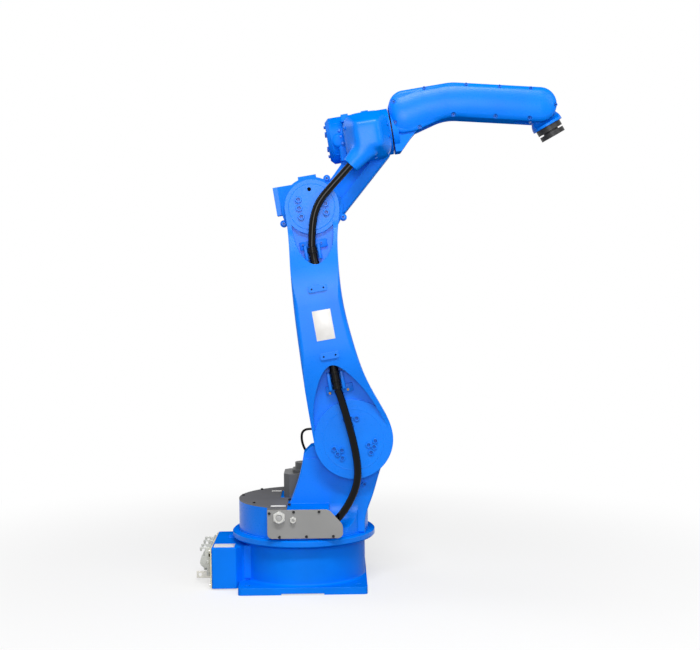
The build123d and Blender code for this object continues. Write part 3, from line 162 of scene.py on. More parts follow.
@dataclass(frozen=True)
class Finish:
    """One real surface finish: its colours, gloss and the size of its grain in millimetres."""

    name: str
    colour: str
    tone: str
    edge: str
    roughness: Spot
    grain: Grain = Grain.SPRAYED
    grain_mm: float = 5.0
    relief_mm: float = 0.05
    patch_mm: float = 160.0
    edge_mm: float = 1.6
    edge_share: float = 0.5
    metallic: float = 0.0
    specular: float = 0.5
    matt_levels: bool = False
    painted_shade_mm: float = 0.0

    def material(self) -> bpy.types.Material:
        """Returns the finish's material, made once."""
        return bpy.data.materials.get(self.name) or self.mix()

    def mix(self) -> bpy.types.Material:
        """Builds the node tree: patchy colour, another colour on edges or painted shade in hollows, grain in
        gloss and bump.

        Returns:
            The new material.
        """
        made = bpy.data.materials.new(self.name)
        made.use_nodes = True
        made.diffuse_color = linear(self.colour)
        tree = made.node_tree
        tree.nodes.clear()
        spots = add_node(tree, "ShaderNodeTexCoord", {}).outputs
        rounded = add_node(tree, "ShaderNodeBevel", {"Radius": self.edge_mm * MM}, samples=6).outputs[0]
        fine, height = self.add_grain(tree, spots["Object"])
        bump = add_node(
            tree,
            "ShaderNodeBump",
            {"Strength": 1.0, "Distance": self.relief_mm * MM, "Height": height, "Normal": rounded},
        )
        shader = add_node(
            tree,
            "ShaderNodeBsdfPrincipled",
            {
                "Base Color": self.add_colour(tree, spots["Object"], rounded),
                "Metallic": self.metallic,
                "Roughness": ramp(tree, fine, GLOSS_RANGE, self.roughness),
                "Specular IOR Level": self.add_shine(tree, spots["Normal"]),
                "Normal": bump.outputs[0],
            },
        )
        add_node(tree, "ShaderNodeOutputMaterial", {"Surface": shader.outputs[0]})
        return made

    def add_grain(self, tree: Tree, place: Socket) -> tuple[Socket, Socket]:
        """Adds the fine grain that the gloss follows, and the height that the bump follows.

        Args:
            tree: the node tree.
            place: the object's coordinates.

        Returns:
            The grain's socket and the height's socket.
        """
        stretch = (1.0, 1.0, BRUSH_STRETCH) if self.grain is Grain.BRUSHED else (1.0, 1.0, 1.0)
        lined = add_node(tree, "ShaderNodeMapping", {"Vector": place, "Scale": stretch}).outputs[0]
        size = {"Vector": lined, "Scale": 1 / (self.grain_mm * MM)}
        fine = add_node(tree, "ShaderNodeTexNoise", {**size, "Detail": 2.0, "Roughness": 0.55}).outputs["Fac"]
        if self.grain is not Grain.CAST:
            return fine, fine
        pits = add_node(tree, "ShaderNodeTexVoronoi", size, feature="SMOOTH_F1").outputs["Distance"]
        return fine, add_node(tree, "ShaderNodeMath", {0: pits, 1: fine}, operation="ADD").outputs[0]

    def add_colour(self, tree: Tree, place: Socket, rounded: Socket) -> Socket:
        """Adds the colour: soft patches of two tones, and a third on edges or as painted shade in hollows.

        Args:
            tree: the node tree.
            place: the object's coordinates.
            rounded: the normal with rounded edges.

        Returns:
            The colour's socket.
        """
        broad = {"Vector": place, "Scale": 1 / (self.patch_mm * MM), "Detail": 3.0}
        patches = ramp(tree, add_node(tree, "ShaderNodeTexNoise", broad).outputs["Fac"], PATCH_RANGE)
        tones = {"Factor": patches, "A": linear(self.colour), "B": linear(self.tone)}
        body = add_node(tree, "ShaderNodeMix", tones, data_type="RGBA").outputs["Result"]
        # Painted shade: the third colour goes where ambient occlusion finds hollows
        if self.painted_shade_mm:
            painted_shade_ao = add_node(tree, "ShaderNodeAmbientOcclusion", {"Distance": self.painted_shade_mm * MM}, samples=8)
            share = ramp(tree, painted_shade_ao.outputs["AO"], PAINTED_SHADE_RANGE, (0.0, self.edge_share))
        else:
            # On edges the third colour is paler worn paint on most finishes, and painted shade on the pressed
            # brackets
            true = add_node(tree, "ShaderNodeNewGeometry", {}).outputs["Normal"]
            bend = add_node(tree, "ShaderNodeVectorMath", {0: rounded, 1: true}, operation="DOT_PRODUCT")
            share = ramp(tree, bend.outputs["Value"], EDGE_RANGE, (0.0, self.edge_share))
        worn = {"Factor": share, "A": body, "B": linear(self.edge)}
        return add_node(tree, "ShaderNodeMix", worn, data_type="RGBA").outputs["Result"]

    def add_shine(self, tree: Tree, normal: Socket) -> Socket | float:
        """Gives the specular level, which fades out on level faces where the finish is matt there.

        Args:
            tree: the node tree.
            normal: the object's normal.

        Returns:
            The level, or the socket that holds it.
        """
        if not self.matt_levels:
            return self.specular
        tilt = add_node(tree, "ShaderNodeSeparateXYZ", {0: normal}).outputs["Z"]
        level = add_node(tree, "ShaderNodeMath", {0: tilt}, operation="ABSOLUTE").outputs[0]
        return ramp(tree, level, LEVEL_RANGE, (self.specular, 0.0))


# Sprayed two-pack enamel on castings: saturated azure with a fine orange peel and thinner, paler edges, and
# matt where overspray and dust settle on level faces
AZURE = Finish(
    "azure_sprayed_enamel", "#007CF3", "#0074E8", "#3C98FF", (0.26, 0.34), specular=0.18, matt_levels=True
)
# The same enamel on rough sand castings, whose skin shows through it and leaves it more matt
AZURE_CASTING = Finish(
    "azure_enamel_on_sand_castings", "#007CF3", "#0074E8", "#3C98FF", (0.42, 0.52),
    grain_mm=6.0, relief_mm=0.08, specular=0.09, matt_levels=True,
)
# The same enamel over cap screws, glossier, with painted shade: darker in their sockets and round their heads
AZURE_SCREW = Finish(
    "azure_enamel_on_screws", "#007AF0", "#0072E4", "#083E9C", (0.26, 0.34),
    edge_mm=0.8, edge_share=0.9, specular=0.2, painted_shade_mm=6.0,
)
# The same enamel on pressed brackets, with darker edges painted as the shade that outlines them on the
# casting
AZURE_BRACKET = Finish(
    "azure_enamel_on_pressings", "#0A76E8", "#086EDC", "#0B4CAE", (0.28, 0.36),
    edge_mm=2.2, edge_share=0.8, specular=0.15,
)
# Powder coat on the deck's folded sheet: flat mid grey with an even fine texture, dull where it lies level
DECK_GREY = Finish(
    "grey_powder_coated_deck", "#6F6F72", "#68686A", "#96948F", (0.5, 0.62),
    grain_mm=3.0, edge_mm=1.0, specular=0.3, matt_levels=True,
)
# Powder coat on the side cover: a paler grey, with warm bare metal at its rubbed edges
COVER_GREY = Finish(
    "grey_powder_coated_cover", "#8B8B8A", "#858584", "#C9BFA6", (0.46, 0.58), grain_mm=3.0, edge_mm=1.2
)
# Baked motor enamel: charcoal, satin, a little patchy
MOTOR_GREY = Finish(
    "charcoal_motor_enamel", "#525354", "#4A4B4C", "#77787A", (0.42, 0.55), grain_mm=4.0, patch_mm=60.0
)
# Spark-eroded moulded cover: dark grey with a dull fine grain
MOTOR_CAP = Finish(
    "grey_moulded_nylon", "#4B4C4D", "#444546", "#6C6D6F", (0.45, 0.6), Grain.MOULDED,
    grain_mm=1.5, relief_mm=0.04, patch_mm=50.0,
)
# Extruded rubber: deep black and smooth, with at most one thin streak of light along it
HOSE_BLACK = Finish(
    "extruded_black_rubber", "#020203", "#040405", "#08080A", (0.1, 0.13),
    grain_mm=12.0, relief_mm=0.01, patch_mm=60.0, edge_mm=0.3, specular=0.16,
)
# Glass-filled moulding of the hose fittings and boots: black, satin, greyer at its edges
FITTING_BLACK = Finish(
    "glass_filled_black_nylon", "#060607", "#0A0A0B", "#242426", (0.22, 0.32), Grain.MOULDED,
    grain_mm=1.5, relief_mm=0.04, patch_mm=30.0, edge_mm=0.8, specular=0.14,
)
# Set screws and a plug sunk in holes: near black with next to no shine, painted as the holes' shade
HOLE_SHADE_BLACK = Finish(
    "near_black_painted_hole_shade", "#020202", "#040404", "#0A0A0A", (0.6, 0.7), Grain.MOULDED,
    grain_mm=1.0, relief_mm=0.02, patch_mm=8.0, edge_mm=0.4, specular=0.03,
)
# Moulded polyamide: warm near white, waxy
GLAND_WHITE = Finish(
    "pale_moulded_polyamide", "#CFCFCB", "#C6C6C1", "#E6E6E2", (0.4, 0.5), Grain.MOULDED,
    grain_mm=1.5, relief_mm=0.03, patch_mm=30.0, edge_mm=0.8,
)
# Soft moulded seal in the gland's bore: mid grey, dull
GLAND_SEAL = Finish(
    "grey_moulded_seal", "#A9A9A8", "#A0A0A0", "#BDBDBB", (0.5, 0.6), Grain.MOULDED,
    grain_mm=1.5, relief_mm=0.03, patch_mm=20.0, edge_mm=0.6,
)
# Pressure die casting, tumbled: dull silver with flow marks and brighter rubbed edges
DIE_CAST = Finish(
    "tumbled_die_cast_aluminium", "#BFC1BC", "#AFB1AD", "#DADBD7", (0.38, 0.55), Grain.CAST,
    grain_mm=3.0, relief_mm=0.06, patch_mm=25.0, edge_mm=1.2, edge_share=0.6, metallic=0.4,
)
# Cream gasket board: soft, matt
GASKET_CREAM = Finish(
    "cream_gasket_board", "#E4D9B2", "#DCD0A6", "#EFE6C6", (0.7, 0.8), Grain.MOULDED,
    grain_mm=2.0, relief_mm=0.05, patch_mm=40.0,
)
# Zinc plating: pale warm silver with a cloudy passivated film
ZINC = Finish(
    "clear_passivated_zinc", "#D3D1C8", "#C4C3BE", "#E6E4DC", (0.3, 0.42), Grain.BRUSHED,
    grain_mm=2.0, relief_mm=0.02, patch_mm=12.0, edge_mm=0.6, metallic=0.8,
)
# Black oxide on steel screws: near black with a dull metal sheen
BLACK_OXIDE = Finish(
    "black_oxide_steel", "#1D1D1F", "#242427", "#4A4A4C", (0.35, 0.48), Grain.MOULDED,
    grain_mm=1.0, relief_mm=0.02, patch_mm=8.0, edge_mm=0.5, edge_share=0.6, metallic=0.5,
)
# Turned brass screws, tarnished: dull ochre with fine turning lines
BRASS = Finish(
    "turned_brass", "#94753A", "#866A33", "#B89855", (0.34, 0.44), Grain.BRUSHED,
    grain_mm=1.0, relief_mm=0.02, patch_mm=6.0, edge_mm=0.5, metallic=0.6,
)
# Phosphated steel of the tool end and the upper reducers: charcoal with a soft metal gloss
DARK_STEEL = Finish(
    "phosphated_turned_steel", "#2C2C2D", "#262627", "#555556", (0.36, 0.5), Grain.BRUSHED,
    grain_mm=2.0, relief_mm=0.03, patch_mm=30.0, edge_mm=1.0, edge_share=0.6, metallic=0.55,
)
# Ground steel of the swing and shoulder reducers: bright, with fine grinding lines
GROUND_STEEL = Finish(
    "ground_bearing_steel", "#A8A9AB", "#9C9DA0", "#C4C5C7", (0.25, 0.38), Grain.BRUSHED,
    grain_mm=1.5, relief_mm=0.02, patch_mm=40.0, edge_mm=1.0, metallic=0.95,
)
# Blank polyester film: pale, smooth, slightly glossy
FILM = Finish(
    "pale_polyester_film", "#DEDCDA", "#D6D4D1", "#F2F1EF", (0.3, 0.38), Grain.MOULDED,
    grain_mm=2.0, relief_mm=0.01, patch_mm=30.0, edge_mm=0.4,
)


def clear() -> None:
    """Goes to object mode with nothing selected."""
    if bpy.context.object and bpy.context.object.mode != "OBJECT":
        bpy.ops.object.mode_set(mode="OBJECT")
    bpy.ops.object.select_all(action="DESELECT")


def hold(piece: Piece) -> None:
    """Selects one piece alone and makes it active.

    Args:
        piece: the piece to work on.
    """
    clear()
    piece.select_set(True)
    bpy.context.view_layer.objects.active = piece


def edit(piece: Piece) -> None:
    """Opens one piece for editing with all of it selected.

    Args:
        piece: the piece to edit.
    """
    hold(piece)
    bpy.ops.object.mode_set(mode="EDIT")
    bpy.ops.mesh.select_all(action="SELECT")


def pick(piece: Piece, kind: str, test: Callable[[Vector, Vector], bool]) -> None:
    """Selects the points, edges or faces that pass a test, in edit mode.

    Args:
        piece: the piece being edited.
        kind: VERT, EDGE or FACE.
        test: gets an element's middle in millimetres and its normal or direction.
    """
    bpy.ops.mesh.select_mode(type=kind)
    bpy.ops.mesh.select_all(action="DESELECT")
    work = bmesh.from_edit_mesh(piece.data)
    if kind == "VERT":
        for point in work.verts:
            point.select_set(test(point.co / MM, point.normal))
    elif kind == "EDGE":
        for edge in work.edges:
            low, high = (v.co for v in edge.verts)
            edge.select_set(test((low + high) / 2 / MM, (high - low).normalized()))
    else:
        for face in work.faces:
            face.select_set(test(face.calc_center_median() / MM, face.normal))
    work.select_flush_mode()
    bmesh.update_edit_mesh(piece.data)


def settle(piece: Piece) -> None:
    """Puts the object's place into its mesh, so that it sits at the origin.

    Args:
        piece: the object to settle.
    """
    hold(piece)
    bpy.ops.object.transform_apply(location=True, rotation=True, scale=True)


def shade(piece: Piece, angle: float = 35.0) -> Piece:
    """Shades a piece smooth, with edges sharper than the angle kept crisp.

    Args:
        piece: the object to shade.
        angle: the angle in degrees.

    Returns:
        The same object.
    """
    hold(piece)
    bpy.ops.object.shade_smooth_by_angle(angle=math.radians(angle))
    return piece


def apply(piece: Piece, kind: str, **settings: object) -> None:
    """Adds a modifier with its settings and applies it.

    Args:
        piece: the object to change.
        kind: the modifier's type.
        settings: the modifier's properties.
    """
    hold(piece)
    modifier = piece.modifiers.new(kind.lower(), kind)
    for name, value in settings.items():
        setattr(modifier, name, value)
    bpy.ops.object.modifier_apply(modifier=modifier.name)


def turn(name: str, profile: Profile, sides: int = 48) -> Piece:
    """Makes a turned piece up its Z axis, by extruding and scaling one disc step by step.

    Args:
        name: the piece's name.
        profile: radius and height in millimetres, from the seat round to the last face.
        sides: the number of sides.

    Returns:
        The turned piece at the origin.
    """
    clear()
    first, base = profile[0]
    bpy.ops.mesh.primitive_circle_add(
        vertices=sides, radius=first * MM, fill_type="NGON", location=(0, 0, base * MM)
    )
    piece = bpy.context.object
    piece.name = name
    settle(piece)
    edit(piece)
    for (wide, low), (next_wide, high) in zip(profile, profile[1:]):
        bpy.ops.mesh.extrude_region_move(TRANSFORM_OT_translate={"value": (0, 0, (high - low) * MM)})
        share = next_wide / wide
        bpy.ops.transform.resize(value=(share, share, 1), center_override=(0, 0, high * MM))
    bpy.ops.mesh.select_all(action="SELECT")
    bpy.ops.mesh.normals_make_consistent(inside=False)
    clear()
    return piece


def block(name: str, size: Place, centre: Place, edge: float, segments: int = 3) -> Piece:
    """Makes a block with all its edges rounded.

    Args:
        name: the piece's name.
        size: its length along x, y and z in millimetres.
        centre: its middle in millimetres.
        edge: the radius of its edges in millimetres.
        segments: the number of facets in an edge.

    Returns:
        The block.
    """
    clear()
    bpy.ops.mesh.primitive_cube_add(size=1, location=[c * MM for c in centre])
    piece = bpy.context.object
    piece.name = name
    piece.scale = [s * MM for s in size]
    settle(piece)
    edit(piece)
    bpy.ops.mesh.bevel(offset=edge * MM, segments=segments, affect="EDGES")
    clear()
    return piece


def film_plate(name: str, size: Spot, centre: Place) -> Piece:
    """Returns a thin level film plate of the given size and middle, in millimetres."""
    return block(name, (*size, FILM_THICK), centre, FILM_EDGE, 2)


def mesh_of(name: str, curve: bpy.types.Curve) -> Piece:
    """Makes a curve a piece with a mesh.

    Args:
        name: the piece's name.
        curve: the curve.

    Returns:
        The piece.
    """
    drawn = bpy.data.objects.new(name, curve)
    bpy.context.scene.collection.objects.link(drawn)
    hold(drawn)
    bpy.ops.object.convert(target="MESH")
    return bpy.context.object


def plate_from(name: str, outline: Profile, thickness: float, edge: float) -> Piece:
    """Makes a flat plate from its outline in the XY plane, with rounded edges.

    Args:
        name: the plate's name.
        outline: the outline's corners in millimetres.
        thickness: the plate's thickness.
        edge: the radius of its edges.

    Returns:
        The plate, its middle on the XY plane.
    """
    curve = bpy.data.curves.new(name, "CURVE")
    curve.dimensions = "2D"
    curve.fill_mode = "BOTH"
    spline = curve.splines.new("POLY")
    spline.points.add(len(outline) - 1)
    for point, (x, y) in zip(spline.points, outline):
        point.co = (x * MM, y * MM, 0.0, 1.0)
    spline.use_cyclic_u = True
    curve.extrude = (thickness / 2 - edge) * MM
    curve.bevel_depth = edge * MM
    curve.bevel_resolution = 2
    curve.offset = -edge * MM
    plate = mesh_of(name, curve)
    edit(plate)
    bpy.ops.mesh.remove_doubles(threshold=TOUCH * MM)
    bpy.ops.mesh.normals_make_consistent(inside=False)
    clear()
    return plate


def facing(point: Place, out: Place, above: Place = UP) -> Matrix:
    """Gives the frame at a point whose Z axis looks outwards.

    Args:
        point: the place in millimetres.
        out: the direction that the Z axis takes.
        above: a direction that the Y axis leans to.

    Returns:
        The frame as a matrix in metres.
    """
    ahead = Vector(out).normalized()
    across = Vector(above).cross(ahead).normalized()
    made = Matrix((across, ahead.cross(across), ahead)).transposed().to_4x4()
    made.translation = Vector(point) * MM
    return made


def tilted(origin: Spot, angle: float, across: float, along: float, depth: float) -> Place:
    """Gives a point from two lengths in a frame that is turned about the Y axis.

    Args:
        origin: the frame's x and z in millimetres.
        angle: how far its first axis rises, in degrees.
        across: the length on its first axis.
        along: the length on its second axis.
        depth: the depth towards the near side.

    Returns:
        The point in millimetres.
    """
    rise = math.radians(angle)
    return (
        origin[0] + across * math.cos(rise) - along * math.sin(rise),
        -depth,
        origin[1] + across * math.sin(rise) + along * math.cos(rise),
    )


def copy_at(piece: Piece, name: str, place: Matrix) -> Piece:
    """Copies a piece with its own mesh, put into place in the mesh.

    Args:
        piece: the piece to copy.
        name: the copy's name.
        place: the frame that its origin goes to.

    Returns:
        The copy.
    """
    made = bpy.data.objects.new(name, piece.data.copy())
    made.data.transform(place)
    bpy.context.scene.collection.objects.link(made)
    return made


def join(pieces: Sequence[Piece], name: str) -> Piece:
    """Joins pieces into one object.

    Args:
        pieces: the pieces, the first of which stays.
        name: the joined piece's name.

    Returns:
        The joined piece.
    """
    hold(pieces[0])
    for piece in pieces:
        piece.select_set(True)
    if len(pieces) > 1:
        bpy.ops.object.join()
    pieces[0].name = name
    return pieces[0]


def scatter(piece: Piece, name: str, places: Iterable[Matrix]) -> Piece:
    """Copies a modelled fastener to each place, joins the copies and keeps the model.

    Args:
        piece: the modelled fastener.
        name: the joined piece's name.
        places: the frames of the copies.

    Returns:
        The joined copies.
    """
    return join([copy_at(piece, f"{name}_{i}", place) for i, place in enumerate(places)], name)


def from_node(node: str, name: str) -> Piece:
    """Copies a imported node's mesh and merges its loose triangles.

    Args:
        node: the node's name.
        name: the copy's name.

    Returns:
        The merged copy.
    """
    made = copy_at(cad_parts[node], name, Matrix.Identity(4))
    hold(made)
    bpy.ops.mesh.customdata_custom_splitnormals_clear()
    edit(made)
    bpy.ops.mesh.remove_doubles(threshold=2 * TOUCH * MM)
    clear()
    return made


def soften(
    piece: Piece, voxel: float, softness: Callable[[Vector], float], rounds: int, depth_only: bool = False
) -> None:
    """Remeshes a piece finely and smooths it where it is soft.

    Args:
        piece: a closed piece.
        voxel: the size of the new faces in millimetres.
        softness: gives from 0, kept, to 1, smoothed, for a point in metres.
        rounds: how many rounds of smoothing.
        depth_only: whether points move along the Y axis alone, which keeps the side outline.
    """
    hold(piece)
    piece.data.remesh_voxel_size = voxel * MM
    bpy.ops.object.voxel_remesh()
    group = piece.vertex_groups.new(name="soft")
    for point in piece.data.vertices:
        group.add([point.index], softness(point.co), "REPLACE")
    free = not depth_only
    apply(piece, "SMOOTH", factor=0.5, iterations=rounds, vertex_group="soft", use_x=free, use_z=free)
    shade(piece, angle=60)


def on_surface(piece: Piece, start: Place, way: Place) -> Matrix:
    """Gives the frame where a straight line from a point first meets a piece.

    Args:
        piece: the piece, at the origin.
        start: where the line starts, in millimetres.
        way: the line's direction.

    Returns:
        The frame on the surface, looking outwards.
    """
    bpy.context.view_layer.update()
    met, spot, out, _ = piece.ray_cast(Vector(start) * MM, Vector(way))
    return facing(spot / MM, out) if met else facing(start, -Vector(way))


def cut(piece: Piece, cutter: Piece) -> None:
    """Cuts a shape out of a piece and removes the cutter.

    Args:
        piece: the piece to cut.
        cutter: the shape taken away.
    """
    apply(piece, "BOOLEAN", object=cutter, operation="DIFFERENCE", solver="EXACT")
    bpy.data.objects.remove(cutter)


def draw_tube(name: str, route: Sequence[Place], radius: float) -> Piece:
    """Draws a hose on one smooth spline and makes it a mesh.

    Args:
        name: the hose's name.
        route: the spline's control points in millimetres.
        radius: the hose's radius in millimetres.

    Returns:
        The hose.
    """
    curve = bpy.data.curves.new(name, "CURVE")
    curve.dimensions = "3D"
    spline = curve.splines.new("NURBS")
    spline.points.add(len(route) - 1)
    for point, spot in zip(spline.points, route):
        point.co = (*(s * MM for s in spot), 1.0)
    spline.order_u = 3
    spline.use_endpoint_u = True
    spline.resolution_u = 28
    curve.bevel_depth = radius * MM
    curve.bevel_resolution = 7
    curve.use_fill_caps = True
    return shade(mesh_of(name, curve))


def dress(piece: Piece, finish: Finish, body: str) -> None:
    """Gives a new piece its finish and body.

    Args:
        piece: the finished piece.
        finish: its finish.
        body: the body it rides on.
    """
    coat(piece, finish)
    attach(piece, body)
    LOG.info("%s rides on %s in %s", piece.name, body, finish.name)


def coat(piece: Piece, finish: Finish) -> None:
    """Puts one finish on every slot of a piece.

    Args:
        piece: the piece.
        finish: its finish.
    """
    if not piece.material_slots:
        piece.data.materials.append(None)
    for slot in piece.material_slots:
        slot.material = finish.material()


def finish_nodes(finish: Finish, *nodes: str) -> None:
    """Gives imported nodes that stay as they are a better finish.

    Args:
        finish: their finish.
        nodes: the nodes' names.
    """
    for node in nodes:
        coat(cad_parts[node], finish)
        LOG.info("%s keeps its form in %s", node, finish.name)


@dataclass
class Fasteners:
    """The screws and bolts, each modelled once and then copied."""

    sides: int = 24
    sunk: float = 1.0
    chamfer_shares: Spot = (0.9, 0.84)
    socket_share: float = 0.8
    bolt_shares: Spot = (0.88, 0.8)
    washer_shares: Spot = (0.66, 0.62)
    washer_heights: Spot = (1.0, 1.4)

    def cap_screw(self, name: str, head: float, height: float, key: float) -> Piece:
        """Models a cap screw's head with a hexagon socket.

        Args:
            name: the model's name.
            head: the head's diameter in millimetres.
            height: the head's height.
            key: the socket's width across its flats.

        Returns:
            The screw, its seat at the origin, taken out of the scene.
        """
        wide, corner = head / 2, key / math.sqrt(3)
        narrow, shoulder = wide * self.chamfer_shares[0], height * self.chamfer_shares[1]
        rim = ((wide, -self.sunk), (wide, shoulder), (narrow, height), (corner, height))
        screw = turn(name, rim, self.sides)
        edit(screw)
        step = 360 / self.sides
        for turned in (step, 2 * step):
            share = math.cos(math.radians(30)) / math.cos(math.radians(30 - turned))
            pick(screw, "VERT", lambda spot, out: self.on_rim(spot, corner, height, turned))
            bpy.ops.transform.resize(value=(share, share, 1), center_override=(0, 0, height * MM))
        pick(screw, "FACE", lambda mid, out: mid.z > height - TOUCH and mid.xy.length < TOUCH)
        deep = -height * self.socket_share * MM
        bpy.ops.mesh.extrude_region_move(TRANSFORM_OT_translate={"value": (0, 0, deep)})
        bpy.ops.mesh.select_all(action="SELECT")
        bpy.ops.mesh.normals_make_consistent(inside=False)
        return self.put_by(shade(screw, angle=30))

    def on_rim(self, spot: Vector, corner: float, height: float, turned: float) -> bool:
        """Tells whether a point is on the socket's rim, at an angle from one of its corners.

        Args:
            spot: the point in millimetres.
            corner: the socket's radius at its corners.
            height: the height of the rim.
            turned: the angle in degrees.

        Returns:
            Whether it is.
        """
        angle = math.degrees(math.atan2(spot.y, spot.x)) % 60
        near = min(abs(angle - turned), abs(angle - (60 - turned))) < 120 / self.sides
        return near and abs(spot.z - height) < TOUCH and abs(spot.xy.length - corner) < TOUCH

    def hex_bolt(self, name: str, flats: float, height: float) -> Piece:
        """Models a hexagon bolt's head on its washer.

        Args:
            name: the model's name.
            flats: the head's width across its flats in millimetres.
            height: the head's height.

        Returns:
            The bolt, its seat at the origin, taken out of the scene.
        """
        wide = flats / math.sqrt(3)
        narrow, shoulder = wide * self.bolt_shares[0], height * self.bolt_shares[1]
        rim, lip = (flats * share for share in self.washer_shares)
        seat, top = self.washer_heights
        head = turn(name, ((wide, seat), (wide, shoulder), (narrow, height)), 6)
        washer = turn(name + "_washer", ((rim, -self.sunk), (rim, seat), (lip, top)), self.sides)
        return self.put_by(shade(join((head, washer), name), angle=30))

    @staticmethod
    def put_by(model: Piece) -> Piece:
        """Takes a finished model out of the scene, to be copied from.

        Args:
            model: the model.

        Returns:
            The same model.
        """
        clear()
        bpy.context.scene.collection.objects.unlink(model)
        return model


@dataclass
class Studio:
    """The camera of the photograph's view, a pale floor and soft light."""

    image_width: int = 700
    focal_pixels: float = 1300.0
    sensor: float = 36.0
    azimuth: float = -0.46
    pitch: float = 2.29
    roll: float = 0.67
    away: float = 4109.6
    height: float = 973.2
    aside: float = 154.2
    sight: float = 200.0
    floor_size: float = 60.0
    shadow_reach: Spot = (0.6, 2.0)
    shadow_lift: float = 0.6
    ambient: float = 0.24
    aim: Place = (200.0, 0.0, 750.0)
    lamps: tuple[tuple[str, Place, Spot, float], ...] = (
        ("front_softbox", (100, -4600, 1500), (1.6, 1.6), 80.0),
        ("top_softbox", (300, -2900, 4000), (2.2, 0.7), 126.0),
        ("side_softbox", (2600, -2200, 2600), (1.6, 1.6), 22.0),
        ("rim_softbox", (-2600, 900, 2600), (1.6, 1.6), 22.0),
    )

    def build(self) -> None:
        """Makes the camera, world, floor and lamps."""
        self.add_camera()
        self.add_world()
        self.add_floor()
        for lamp in self.lamps:
            self.add_lamp(*lamp)
        bpy.context.scene.view_settings.view_transform = "Standard"

    def add_camera(self) -> None:
        """Sets the camera up where the photograph was taken from."""
        aim = math.radians(self.azimuth)
        right = Vector((math.cos(aim), math.sin(aim), 0))
        ahead = Vector((-math.sin(aim), math.cos(aim), 0))
        above = Vector(UP)
        dip, lean = math.radians(self.pitch), math.radians(self.roll)
        look = ahead * math.cos(dip) - above * math.sin(dip)
        crown = above * math.cos(dip) + ahead * math.sin(dip)
        across = right * math.cos(lean) - crown * math.sin(lean)
        upright = right * math.sin(lean) + crown * math.cos(lean)
        lens = bpy.data.cameras.new("photograph_view")
        lens.sensor_width = self.sensor
        lens.lens = self.focal_pixels / self.image_width * self.sensor
        lens.clip_end = self.sight
        camera = bpy.data.objects.new("photograph_view", lens)
        place = Matrix((across, upright, -look)).transposed().to_4x4()
        place.translation = (right * self.aside - ahead * self.away + above * self.height) * MM
        camera.matrix_world = place
        bpy.context.scene.collection.objects.link(camera)
        bpy.context.scene.camera = camera

    def add_world(self) -> None:
        """Makes an even grey surround for light that is seen as white."""
        world = bpy.data.worlds.new("white_cyclorama")
        world.use_nodes = True
        bpy.context.scene.world = world
        tree = world.node_tree
        tree.nodes.clear()
        path = add_node(tree, "ShaderNodeLightPath", {})
        seen = self.seen(tree, path)
        light = add_node(tree, "ShaderNodeBackground", {"Color": linear("#FFFFFF"), "Strength": self.ambient})
        white = add_node(tree, "ShaderNodeBackground", {"Color": linear("#FFFFFF"), "Strength": 1.0})
        both = add_node(tree, "ShaderNodeMixShader", {0: seen, 1: light.outputs[0], 2: white.outputs[0]})
        add_node(tree, "ShaderNodeOutputWorld", {"Surface": both.outputs[0]})

    @staticmethod
    def seen(tree: Tree, path: bpy.types.Node) -> Socket:
        """Gives 1 for what the camera sees straight, in gloss or through glass.

        Args:
            tree: the node tree.
            path: its light path node.

        Returns:
            The socket that holds the result.
        """
        rays = path.outputs
        both = {0: rays["Is Glossy Ray"], 1: rays["Is Transmission Ray"]}
        shiny = add_node(tree, "ShaderNodeMath", both, operation="MAXIMUM").outputs[0]
        every = {0: rays["Is Camera Ray"], 1: shiny}
        return add_node(tree, "ShaderNodeMath", every, operation="MAXIMUM").outputs[0]

    def add_floor(self) -> None:
        """Lays a wide pale floor that keeps the object's shadow."""
        clear()
        bpy.ops.mesh.primitive_plane_add(size=self.floor_size, location=(0, 0, 0))
        floor = bpy.context.object
        floor.name = "studio_floor"
        made = bpy.data.materials.new("matt_white_studio_floor")
        made.use_nodes = True
        tree = made.node_tree
        tree.nodes.clear()
        path = add_node(tree, "ShaderNodeLightPath", {})
        spots = add_node(tree, "ShaderNodeTexCoord", {})
        away = add_node(tree, "ShaderNodeVectorMath", {0: spots.outputs["Object"]}, operation="LENGTH")
        lift = (self.shadow_lift, 1.0)
        fade = ramp(tree, away.outputs["Value"], self.shadow_reach, lift, interpolation_type="SMOOTHSTEP")
        paint = add_node(tree, "ShaderNodeBsdfDiffuse", {"Color": linear("#F4F4F4")}).outputs[0]
        bounce = add_node(tree, "ShaderNodeBsdfDiffuse", {"Color": linear("#A8A8A8")}).outputs[0]
        glow = add_node(tree, "ShaderNodeEmission", {"Color": linear("#FFFFFF"), "Strength": 1.0}).outputs[0]
        lifted = add_node(tree, "ShaderNodeMixShader", {0: fade, 1: paint, 2: glow}).outputs[0]
        both = add_node(tree, "ShaderNodeMixShader", {0: self.seen(tree, path), 1: bounce, 2: lifted})
        add_node(tree, "ShaderNodeOutputMaterial", {"Surface": both.outputs[0]})
        floor.data.materials.append(made)

    def add_lamp(self, name: str, place: Place, size: Spot, power: float) -> None:
        """Hangs one softbox that looks at the arm's middle.

        Args:
            name: the lamp's name.
            place: where it hangs, in millimetres.
            size: its width and height in metres.
            power: its power in watts.
        """
        lamp = bpy.data.lights.new(name, "AREA")
        lamp.shape = "RECTANGLE"
        lamp.size, lamp.size_y = size
        lamp.energy = power
        stand = bpy.data.objects.new(name, lamp)
        stand.matrix_world = facing(place, Vector(place) - Vector(self.aim))
        bpy.context.scene.collection.objects.link(stand)


